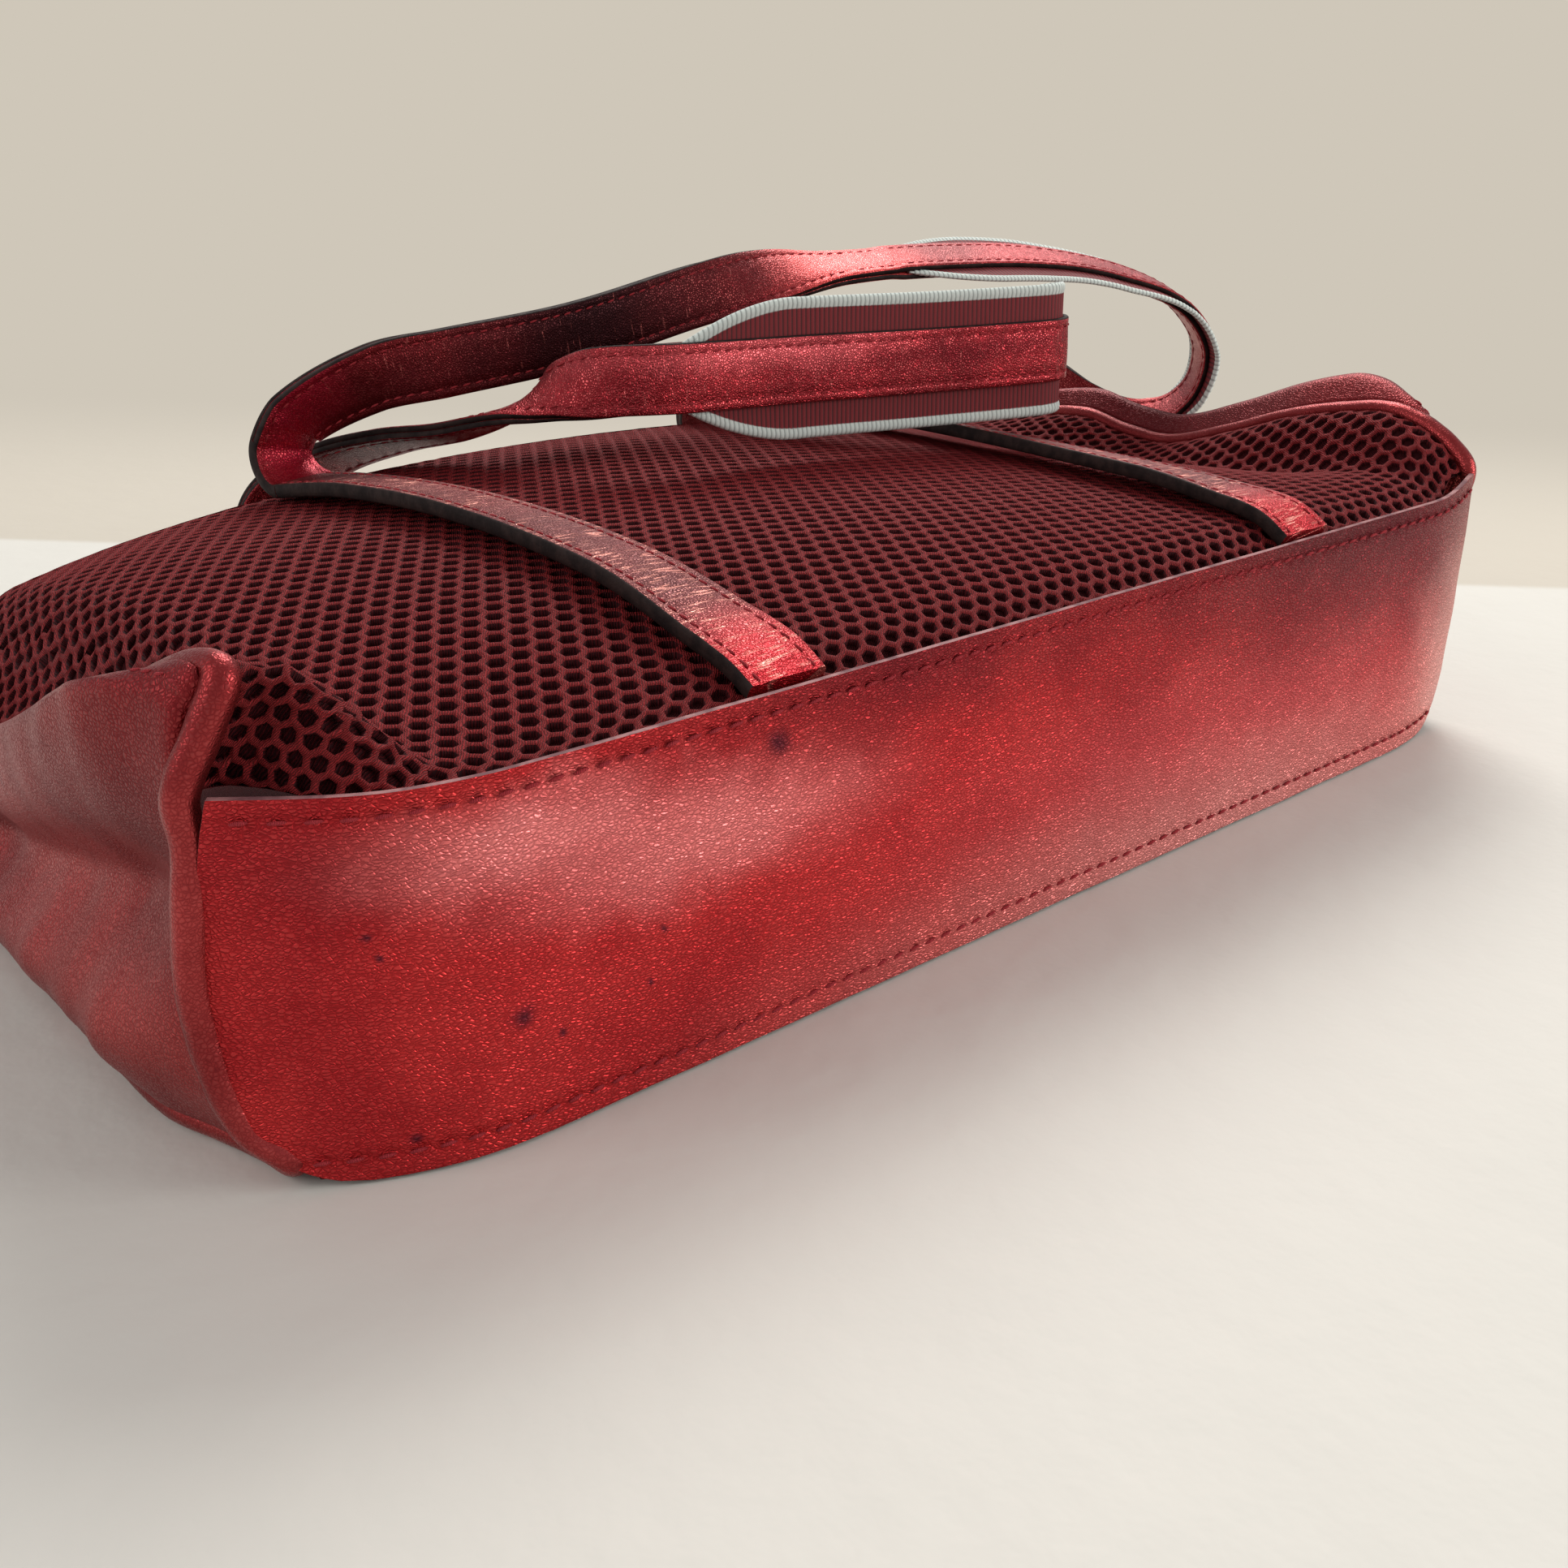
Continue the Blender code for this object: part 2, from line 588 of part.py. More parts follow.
# The back handle comes up behind the rim, passes under the front handle, turns on edge along the front
# panel, folds back on itself and returns over the rim. Heights count from the front handle's axis.
BACK_ROUTE = (
    (-0.0692, 0.0025, -0.0560, (0.0, 0.90, -0.45)),
    (-0.0700, 0.0060, -0.0450, (0.0, 1.0, -0.15)),
    (-0.0705, 0.0110, -0.0240, (0.0, 1.0, -0.05)),
    (-0.0670, 0.0120, -0.0080, (0.05, 0.95, 0.30)),
    (-0.0550, 0.0060, 0.0020, (0.15, 0.60, 0.75)),
    (-0.0430, -0.0060, 0.0075, (0.20, 0.35, 0.93)),
    (-0.0340, -0.0210, 0.0110, (0.15, 0.15, 0.95)),
    (-0.0270, -0.0370, 0.0170, (0.00, -0.20, 0.95)),
    (-0.0225, -0.0480, 0.0225, (-0.35, -0.55, 0.70)),
    (-0.0160, -0.0590, 0.0250, (-0.50, -0.80, 0.25)),
    (-0.0040, -0.0665, 0.0255, (-0.35, -0.93, 0.08)),
    (0.0120, -0.0685, 0.0252, (-0.10, -1.0, 0.05)),
    (0.0330, -0.0710, 0.0248, (-0.10, -1.0, 0.05)),
    (0.0660, -0.0760, 0.0240, (-0.12, -1.0, 0.05)),
    (0.0980, -0.0835, 0.0240, (-0.10, -1.0, 0.05)),
    (0.1060, -0.0830, 0.0240, (0.40, -0.90, 0.03)),
    (0.1105, -0.0780, 0.0240, (1.00, 0.00, 0.00)),
    (0.1065, -0.0725, 0.0240, (0.35, 0.95, 0.00)),
    (0.0950, -0.0690, 0.0240, (0.30, 0.95, 0.00)),
    (0.0760, -0.0620, 0.0240, (0.35, 0.93, 0.05)),
    (0.0620, -0.0500, 0.0225, (0.65, 0.72, 0.20)),
    (0.0550, -0.0360, 0.0180, (0.70, 0.45, 0.50)),
    (0.0530, -0.0200, 0.0145, (0.35, 0.15, 0.90)),
    (0.0545, -0.0050, 0.0110, (0.05, 0.30, 0.95)),
    (0.0590, 0.0070, 0.0010, (-0.10, 0.80, 0.60)),
    (0.0670, 0.0110, -0.0130, (-0.05, 1.0, 0.15)),
    (0.0770, 0.0105, -0.0300, (0.0, 1.0, 0.00)),
    (0.0850, 0.0065, -0.0460, (0.0, 1.0, -0.15)),
    (0.0878, 0.0025, -0.0560, (0.0, 0.90, -0.45)),
)


def handle_frames(route, axis_y, axis_z):
    """Stations along a handle: run, point, direction of its width and of its outer face.

    They stand closer together where the handle turns sharply.
    """
    points = [Vector((x, axis_y + beyond, axis_z + over)) for x, beyond, over, _ in route]
    faces = [Vector(face).normalized() for _, _, _, face in route]
    knots = chord_knots(points)

    def direction(run):
        ahead = through(knots, points, min(run + 0.0005, knots[-1]))
        behind = through(knots, points, max(run - 0.0005, 0.0))
        return (ahead - behind).normalized()

    fine = evenly(0, knots[-1], 6 * HANDLE_SEGMENTS)
    reached = [0.0]
    for a, b in zip(fine, fine[1:]):
        turn = (direction(b) - direction(a)).length
        reached.append(reached[-1] + (b - a) + TURN_WEIGHT * turn)
    frames = []
    k = 0
    for goal in evenly(0, reached[-1], HANDLE_SEGMENTS):
        while k < len(fine) - 2 and reached[k + 1] < goal:
            k += 1
        part = (goal - reached[k]) / (reached[k + 1] - reached[k])
        run = fine[k] + (fine[k + 1] - fine[k]) * part
        along = direction(run)
        face = through(knots, faces, run)
        face = (face - along * face.dot(along)).normalized()
        frames.append((run, through(knots, points, run), face.cross(along), face))
    return frames


def layer_gap(run, ribbon_start):
    """Half the distance between a handle's two leathers, which open to take the ribbon."""
    past_start = smoothstep((run - ribbon_start) / 0.006 + 1)
    past_end = smoothstep((run - ribbon_start - RIBBON_LENGTH) / 0.006)
    return GAP / 2 + (RIBBON / 2 + GAP / 2) * past_start * (1 - past_end)


def make_handle(name, route, axis_y, axis_z, ribbon_start, made, parent):
    """A handle on its axis: outer leather, inner leather and the ribbon held between them."""
    axis = bpy.data.objects.new(f"{name}_axis", None)
    bpy.context.scene.collection.objects.link(axis)
    axis.parent = parent
    axis.location = (0.0, axis_y, axis_z)
    frames = handle_frames(route, axis_y, axis_z)
    origin = Vector((0.0, axis_y, axis_z))

    def layer(side):
        def place(u, index):
            run, here, width, face = frames[index]
            offset = side * (layer_gap(run, ribbon_start) + LEATHER / 2)
            return here - origin + width * (u * STRAP_WIDTH / 2) + face * offset
        return place

    def ribbon(u, index):
        _, here, width, _ = frames[index]
        return here - origin + width * (u * RIBBON_WIDTH / 2)

    every = list(range(len(frames)))
    sheet(f"{name}_outer_leather", layer(1), [-1, 1], every, LEATHER, made["leather"], axis)
    sheet(f"{name}_inner_leather", layer(-1), [-1, 1], every, LEATHER, made["leather"], axis)
    covered = [i for i in every if 0 <= frames[i][0] - ribbon_start <= RIBBON_LENGTH]
    sheet(f"{name}_ribbon", ribbon, [-1, 0, 1], covered, RIBBON, made["ribbon"], axis)


def main():
    """Makes the whole bag."""
    clear_scene()
    bag = bpy.data.collections.new("handbag")
    bpy.context.scene.collection.children.link(bag)
    base_line = bpy.data.objects.new("base_line", None)
    bpy.context.scene.collection.objects.link(base_line)
    base_line.location = (0.0, -BODY_HEIGHT / 2, 0.0)
    made = {
        "leather": material("metallic_leather", (0.48, 0.03, 0.04), 0.35, 0.7),
        "mesh": material("spacer_mesh", (0.16, 0.02, 0.025), 0.9),
        "ribbon": material("grosgrain", (0.25, 0.02, 0.03), 0.8),
        "lining": material("lining_cloth", (0.10, 0.02, 0.02), 0.8),
        "facing": material("facing_leather", (0.30, 0.03, 0.04), 0.5),
        "board": material("base_board", (0.35, 0.28, 0.2), 0.9),
    }
    make_base(made, base_line)
    make_front(made, base_line)
    make_back(made, base_line)
    make_side("left", -1, made, base_line)
    make_side("right", 1, made, base_line)
    make_front_straps(made, base_line)
    make_back_straps(made, base_line)
    make_handle("front_handle", FRONT_ROUTE, FRONT_AXIS_Y, FRONT_AXIS_Z, FRONT_RIBBON_START, made,
                base_line)
    lowered = FRONT_AXIS_Z - BACK_AXIS_Z
    back_route = [(x, beyond, over + lowered, face) for x, beyond, over, face in BACK_ROUTE]
    back_route.insert(0, (LEFT_STRAP_RIM_X, 0.0, 0.0, (0.0, 0.7, -0.7)))
    back_route.append((RIGHT_STRAP_RIM_X, 0.0, 0.0, (0.0, 0.7, -0.7)))
    make_handle("back_handle", back_route, BACK_AXIS_Y, BACK_AXIS_Z, BACK_RIBBON_START, made,
                base_line)


main()
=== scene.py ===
# %% [markdown]
# # A small handbag lying on its back panel
# The solids of the bag are already made: they say how big everything is and how the handles swing.
# This lesson dresses them: a real net, real stitches, ribs in the ribbon, creases in the leather.
# The first cell loads the solids.

# %% Load the solids
import json
import math

import bmesh
import bpy
import numpy as np
from mathutils import Matrix, Vector, noise

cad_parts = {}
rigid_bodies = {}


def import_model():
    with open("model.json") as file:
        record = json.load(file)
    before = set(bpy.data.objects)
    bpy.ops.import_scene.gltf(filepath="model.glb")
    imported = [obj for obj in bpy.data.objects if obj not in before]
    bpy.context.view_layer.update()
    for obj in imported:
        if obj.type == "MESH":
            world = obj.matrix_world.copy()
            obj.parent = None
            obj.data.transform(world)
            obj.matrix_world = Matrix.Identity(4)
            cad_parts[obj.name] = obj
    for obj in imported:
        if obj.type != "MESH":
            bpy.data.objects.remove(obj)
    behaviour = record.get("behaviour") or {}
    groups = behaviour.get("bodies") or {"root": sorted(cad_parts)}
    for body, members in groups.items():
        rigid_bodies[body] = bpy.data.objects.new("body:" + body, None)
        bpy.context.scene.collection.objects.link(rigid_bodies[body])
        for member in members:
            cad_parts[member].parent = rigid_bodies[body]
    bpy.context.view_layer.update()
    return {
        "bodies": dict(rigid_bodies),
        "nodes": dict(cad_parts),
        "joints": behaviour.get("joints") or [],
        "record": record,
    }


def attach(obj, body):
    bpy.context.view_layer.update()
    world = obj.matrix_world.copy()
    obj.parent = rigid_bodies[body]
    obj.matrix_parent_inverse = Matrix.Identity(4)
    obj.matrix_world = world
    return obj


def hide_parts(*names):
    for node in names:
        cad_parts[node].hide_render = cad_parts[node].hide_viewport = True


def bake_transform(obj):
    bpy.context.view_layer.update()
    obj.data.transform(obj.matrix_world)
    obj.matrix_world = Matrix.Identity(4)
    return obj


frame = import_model()
print("solids:", sorted(frame["nodes"]))

# %% [markdown]
# ## Camera
# The bag is seen from its left front corner, low over the table. The camera is set first, so that every
# piece that follows can be judged from the place where the bag is looked at.

# %% Camera
camera_data = bpy.data.cameras.new("camera")
camera_data.lens = 35.63
camera_data.sensor_width = 36.0
camera = bpy.data.objects.new("camera", camera_data)
camera.location = (-0.2087, -0.2608, 0.1430)
camera.rotation_euler = (math.radians(66.3), 0.0, math.radians(-39.755))
bpy.context.scene.collection.objects.link(camera)
bpy.context.scene.camera = camera
bpy.context.scene.view_settings.view_transform = 'Standard'

# %% [markdown]
# ## The body's measures and forms
# The soft pieces follow the same curves as the solids, so the measures and the formulas of those curves
# come first. Y counts from the base to the rim here, and a piece is moved to the bag's middle at the end.

# %% Measures
BASE_LINE_Y = -0.088
BASE_LENGTH = 0.300
BASE_DEPTH = 0.0602
BASE_LIFT = 0.0005
BASE_CORNER_RADIUS = 0.013
BASE_END_BOW = 0.005
BODY_HEIGHT = 0.176
SIDE_LINE_X = 0.152
SIDE_FLARE = 0.050
BACK_CORNER = 0.007
LEFT_CURL_START, LEFT_CURL = 0.112, 0.014
RIGHT_CURL_START, RIGHT_CURL = 0.120, 0.005
CORNER_FLICK = 0.002
LEATHER = 0.0014
MESH = 0.0020
LINING = 0.0006
BASE_LEATHER = 0.0016
BOARD = 0.0020
RIBBON = 0.0006
GAP = 0.0003
LAYER_GAP = 0.0005
LINING_EASE = 0.0012
GUSSET_LINING_EASE = 0.0010
BEAD_RADIUS = 0.0023
BEAD_OUTSIDE = 0.0015
BASE_EASE = 0.0014
GUSSET_EASE = -0.0008
TUCK = 0.0035
BOARD_MARGIN = 0.0075
FACING_HEIGHT = 0.022
STRAP_WIDTH = 0.0152
LEFT_STRAP_FOOT_X, LEFT_STRAP_RIM_X = -0.0660, -0.0690
RIGHT_STRAP_FOOT_X, RIGHT_STRAP_RIM_X = 0.0780, 0.0880
LEFT_STRAP_SWAY = 0.0065
RIBBON_WIDTH = 0.032
FRONT_RIBBON_START, BACK_RIBBON_START = 0.192, 0.168
RIBBON_LENGTH = 0.140
LEFT_END_TRIM = 0.0021
LEFT_BEAD_SHIFT = Vector((0.0006, -0.0022, 0.0))
LEFT_FOOT_SHIFT = 0.0035
CORNER_START, CORNER_SPAN = 0.85, 0.15
FRONT_AXIS_BEYOND_RIM, BACK_AXIS_BEYOND_RIM = 0.0012, 0.0030
TURN_WEIGHT = 0.020
STRAP_THICKNESS = 2 * LEATHER + GAP
STRAP_RECESS = STRAP_THICKNESS + LAYER_GAP
RECESS_SHOULDER = 0.007
FRONT_EDGE = BASE_LIFT + BASE_DEPTH - TUCK
BEAD_OFFSET = BEAD_RADIUS + GAP
MESH_EDGE = BEAD_OFFSET + MESH / 2

# %% [markdown]
# The seams at the two sides of the front aren't straight: the left one stands up in a hairpin over the
# base's corner, the right one rolls over softly. Stations along them, and a table of the front's pillow,
# hold that form better than any single formula would.

# %% Stations of the seams, the pillow and the gussets
LEFT_SEAM = (
    (0, 0.001, 0.098, 0.004), (0.03, 0.005, 0.09, 0.013), (0.06, 0.008, 0.09, 0.019),
    (0.1, 0.0075, 0.13, 0.0185), (0.18, 0.0058, 0.205, 0.0125), (0.34, 0.0043, 0.37, -0.001),
    (0.56, 0.0035, 0.574, -0.014), (0.78, 0.002, 0.784, -0.0235), (1, 0, 1, -0.03),
)
RIGHT_SEAM = (
    (0, 0, 0.038, 0.0055), (0.04, 0, 0.077, 0.012), (0.09, 0, 0.14, 0.016), (0.15, 0, 0.19, 0.0162),
    (0.3, 0, 0.315, 0.0115), (0.4, 0, 0.385, 0.007), (0.55, 0, 0.535, -0.0015), (0.66, 0, 0.63, -0.0015),
    (0.78, 0, 0.73, 0.001), (1, 0, 1, -0.006),
)
PILLOW_ACROSS = (-0.93, -0.83, -0.44, 0.0, 0.50, 0.78, 0.90)
PILLOW_UP = (0.0, 0.05, 0.12, 0.30, 0.60, 0.85, 1.0)
PILLOW_RISE = (
    (0.003, 0, 0.0002, 0, 0.0002, 0.0005, 0.002), (0.014, 0.0005, 0.004, 0.004, 0.0045, 0.004, 0.005),
    (0.01, 0.001, 0.0055, 0.0065, 0.0052, 0.005, 0.005),
    (-0.001, 0.003, 0.0082, 0.009, 0.0055, 0.003, -0.001),
    (-0.009, 0.003, 0.0082, 0.0093, 0.0052, -0.001, -0.005),
    (-0.015, -0.002, 0.0052, 0.0087, 0.004, -0.002, -0.004),
    (-0.019, -0.008, 0.0028, 0.006, 0.0028, -0.003, -0.006),
)
GUSSET_ACROSS = (0.0, 0.12, 0.30, 0.50, 0.80, 1.0)
GUSSET_OUTWARD = (0.0, 0.0050, 0.0010, -0.0090, 0.0020, 0.0)
LEFT_CREST, RIGHT_CREST = 0.0090, 0.0125
GUSSET_RAMP = 0.24
GUSSET_FULL_DEPTH = 0.062


def hermite(start, leave, end, arrive, t):
    """Value at t of the curve from start to end that leaves and arrives with the given slopes."""
    return (start * (2 * t ** 3 - 3 * t ** 2 + 1) + leave * (t ** 3 - 2 * t ** 2 + t)
            + end * (3 * t ** 2 - 2 * t ** 3) + arrive * (t ** 3 - t ** 2))


def through(knots, values, t):
    """Value at t of the smooth curve that passes through the values standing at the knots."""
    last = len(knots) - 1
    i = 0
    while i < last - 1 and t > knots[i + 1]:
        i += 1
    step = knots[i + 1] - knots[i]
    s = (t - knots[i]) / step
    slopes = []
    for k in (i, i + 1):
        before, after = max(k - 1, 0), min(k + 1, last)
        slopes.append((values[after] - values[before]) * (step / (knots[after] - knots[before])))
    return hermite(values[i], slopes[0], values[i + 1], slopes[1], s)


def chord_knots(points):
    """Knots for a curve through points in space: the length run so far, from chord to chord."""
    knots = [0.0]
    for a, b in zip(points, points[1:]):
        knots.append(knots[-1] + (b - a).length)
    return knots


def heading(knots, points, run, step=0.0005):
    """Direction at a run along the curve through points."""
    ahead = through(knots, points, min(run + step, knots[-1]))
    behind_it = through(knots, points, max(run - step, 0.0))
    return (ahead - behind_it).normalized()


def evenly(start, stop, count):
    """Values from start to stop in equal steps."""
    return [start + (stop - start) * i / count for i in range(count + 1)]


def smoothstep(t):
    """0 before 0, 1 after 1, and a smooth rise between."""
    t = min(max(t, 0.0), 1.0)
    return t * t * (3 - 2 * t)


# %% [markdown]
# Now the forms themselves: the base with its curled ends, the front's pillow between its two seams, the
# back that rests on two straps, the bead that runs round each side and the gusset pushed in beside it.

# %% Forms of the body


def base_back(x):
    """How far the base's curled end stands back at x; the middle of the base is flat."""
    start, curl = (LEFT_CURL_START, LEFT_CURL) if x < 0 else (RIGHT_CURL_START, RIGHT_CURL)
    beyond = max(abs(x) - start, 0.0) / (BASE_LENGTH / 2 - start)
    return curl * beyond ** 2


def base_half_length(share):
    """Half the base's length at a share of its depth: bowed ends, round corners by the back edge."""
    bow = BASE_END_BOW * math.sin(math.pi * share)
    from_back = max(share, 0.0) * BASE_DEPTH
    cut = 0.0
    if from_back < BASE_CORNER_RADIUS:
        below = BASE_CORNER_RADIUS - from_back
        cut = BASE_CORNER_RADIUS - math.sqrt(BASE_CORNER_RADIUS ** 2 - below ** 2)
    return BASE_LENGTH / 2 + bow - cut


def base_point(u, share):
    """Point on the base's inner face; u runs from end to end, share from the floor edge up."""
    x = u * base_half_length(share)
    flick = CORNER_FLICK * smoothstep((abs(u) - CORNER_START) / CORNER_SPAN) * share
    return Vector((x, base_back(x), BASE_LIFT + share * BASE_DEPTH + flick))


def seam_point(side, v):
    """Centre of the front seam's bead at the station v, from 0 at the base to 1 at the rim."""
    stations = RIGHT_SEAM if side > 0 else LEFT_SEAM
    knots = [station[0] for station in stations]
    lean, share, rise = (through(knots, [station[k] for station in stations], v) for k in (1, 2, 3))
    y = share * BODY_HEIGHT
    return Vector((side * (SIDE_LINE_X + SIDE_FLARE * y - lean), y, FRONT_EDGE + rise))


def mesh_edges(v):
    """X of the front net's two side edges, beside the beads."""
    return seam_point(-1, v).x + MESH_EDGE, seam_point(1, v).x - MESH_EDGE


def front_point(u, v):
    """Point on the front's outer face; u runs from -1 at the left seam to 1 at the right seam."""
    side = -1 if u < 0 else 1
    left, right = mesh_edges(v)
    x = left + (right - left) * (u + 1) / 2
    start = base_back(x) + BASE_EASE
    rows = [through(PILLOW_ACROSS, row, u) for row in PILLOW_RISE]
    rise = through(PILLOW_UP, rows, v)
    middle = Vector((x, start + (BODY_HEIGHT - start) * v, FRONT_EDGE + rise))
    edge = abs(PILLOW_ACROSS[0] if side < 0 else PILLOW_ACROSS[-1])
    seam = seam_point(side, v)
    seam.x = x
    return middle.lerp(seam, smoothstep((abs(u) - edge) / (1 - edge)))


def back_half_width(side, y):
    """X of the back seam's bead: the side line, drawn in round the base's corner."""
    drawn_in = 1 - smoothstep((y - base_back(side * BASE_LENGTH / 2)) / 0.03)
    return SIDE_LINE_X + SIDE_FLARE * y - BACK_CORNER * drawn_in


def strap_x(side, y):
    """X of a strap's middle: the straps spread a little towards the rim."""
    foot, rim = ((LEFT_STRAP_FOOT_X, LEFT_STRAP_RIM_X) if side < 0
                 else (RIGHT_STRAP_FOOT_X, RIGHT_STRAP_RIM_X))
    return foot + (rim - foot) * y / BODY_HEIGHT


def back_lift(x, y):
    """How far the back is lifted over the two straps that it lies on."""
    nearest = min(abs(x - strap_x(side, y)) for side in (-1, 1))
    return STRAP_RECESS * (1 - smoothstep((nearest - STRAP_WIDTH / 2 - LAYER_GAP) / RECESS_SHOULDER))


def back_point(u, v):
    """Point on the back's outer face; u runs from -1 to 1 across, v from the base to the rim."""
    y = BODY_HEIGHT * v
    left, right = -back_half_width(-1, y) + MESH_EDGE, back_half_width(1, y) - MESH_EDGE
    x = left + (right - left) * (u + 1) / 2
    start = base_back(x) + BASE_EASE
    y = start + (BODY_HEIGHT - start) * v
    return Vector((x, y, back_lift(x, y)))


def offset_from(point_at, u, v, distance, step=0.002):
    """Point at a distance from a face given by point_at(u, v), along the face's own normal."""
    across = point_at(u + step, v) - point_at(u - step, v)
    along = point_at(u, v + step) - point_at(u, v - step)
    return point_at(u, v) + across.cross(along).normalized() * distance


SEAM_STOPS = (1, 0.89, 0.78, 0.67, 0.56, 0.45, 0.34, 0.26, 0.18, 0.14, 0.10, 0.08, 0.06, 0.03, 0.0)
END_STOPS = (0.85, 0.7, 0.5, 0.3, 0.15, 0.06)
FRONT_CORNER_POINT = len(SEAM_STOPS) - 1
BACK_CORNER_POINT = FRONT_CORNER_POINT + len(END_STOPS)


def bead_route(side):
    """The bead's points: down the front seam, round the end of the base and up the back seam."""
    points = [seam_point(side, v) for v in SEAM_STOPS]
    for share in END_STOPS:
        edge = base_point(side, share)
        outward = (edge - base_point(0.99 * side, share)).normalized()
        point = offset_from(base_point, side, share, -BEAD_OFFSET) + outward * BEAD_OUTSIDE
        if side < 0:
            point += LEFT_BEAD_SHIFT * smoothstep((1 - share) / 0.3)
        point.z = max(point.z, BEAD_RADIUS)
        points.append(point)
    end_y = points[-1].y
    for run in (0.005, 0.014, 0.026, 0.045, 0.07, 0.1, 0.13):
        y = end_y + run
        points.append(Vector((side * back_half_width(side, y), y, BEAD_RADIUS)))
    points.append(Vector((side * back_half_width(side, BODY_HEIGHT), BODY_HEIGHT, BEAD_RADIUS)))
    return points


# Where the gusset's edge turns round the two corners: how far before each, and over what length
TURN_IN, TURN_OUT = (0.026, 0.018), (0.010, 0.016)


def gusset_place(side):
    """A gusset's mid surface: w runs from the front seam to the back seam, v from the base to the rim."""
    route = bead_route(side)
    knots = chord_knots(route)
    front_corner, back_corner = knots[FRONT_CORNER_POINT], knots[BACK_CORNER_POINT]
    crest = RIGHT_CREST if side > 0 else LEFT_CREST
    raised = (0.0, crest, 0.35 * crest, 0.0, 0.0, 0.0)
    kept = {}

    def beside_bead(run):
        """Point beside the bead where the gusset's edge is sewn."""
        key = round(run, 7)
        if key not in kept:
            along = heading(knots, route, run, 0.001)
            past_front = smoothstep((run - front_corner + TURN_IN[0]) / TURN_IN[1])
            past_end = smoothstep((run - back_corner + TURN_OUT[0]) / TURN_OUT[1])
            beside = Vector((side, 0.0, 0.5)).lerp(Vector((0.5 * side, 1.0, 0.0)), past_front)
            beside = beside.lerp(Vector((0.8 * side, 0.0, 1.0)), past_end)
            beside = (beside - along * beside.dot(along)).normalized()
            kept[key] = through(knots, route, run) + beside * (BEAD_OFFSET + GUSSET_EASE + LEATHER / 2)
        return kept[key].copy()

    def front(v):
        return beside_bead(front_corner * (1 - v))

    def back(v):
        return beside_bead(back_corner + (knots[-1] - back_corner) * v)

    def end(w):
        return beside_bead(front_corner + (back_corner - front_corner) * w)

    def place(w, v):
        at_front, at_back = front(v), back(v)
        rim = front(1).lerp(back(1), w)
        across = at_front.lerp(at_back, w)
        along = end(w).lerp(rim, v)
        corners = front(0).lerp(back(0), w).lerp(rim, v)
        point = across + along - corners
        ramp = smoothstep(v / GUSSET_RAMP) * (at_front - at_back).length / GUSSET_FULL_DEPTH
        point.x += side * ramp * through(GUSSET_ACROSS, GUSSET_OUTWARD, w)
        point.z += ramp * through(GUSSET_ACROSS, raised, w)
        return point

    return place


def front_strap_x(side, v):
    """X of a front strap's middle; the soft front lets the left one sway."""
    v = min(max(v, 0.0), 1.0)
    middle = strap_x(side, v * BODY_HEIGHT)
    if side < 0:
        middle += LEFT_STRAP_SWAY * math.sin(math.pi * v) + LEFT_FOOT_SHIFT * (1 - v) ** 4
    return middle


def strap_mid(side, beside, v, over=0.0):
    """Point in the middle of a front strap's thickness, beside its middle line and over its middle."""
    x = front_strap_x(side, v) + beside
    left, right = mesh_edges(v)
    u = 2 * (x - left) / (right - left) - 1
    return offset_from(front_point, u, v, LAYER_GAP + STRAP_THICKNESS / 2 + over)


FRONT_AXIS_Y = BODY_HEIGHT + FRONT_AXIS_BEYOND_RIM
FRONT_AXIS_Z = (strap_mid(-1, 0, 1).z + strap_mid(1, 0, 1).z) / 2
BACK_AXIS_Y = BODY_HEIGHT + BACK_AXIS_BEYOND_RIM
BACK_AXIS_Z = STRAP_THICKNESS / 2
print("front handle's axis:", round(FRONT_AXIS_Y * 1000, 2), round(FRONT_AXIS_Z * 1000, 2), "mm")

# %% [markdown]
# A handle is a long double strap that twists as it goes, so its route is a list of places with the way its
# outer face looks at each. Stations are taken closer together where it turns.

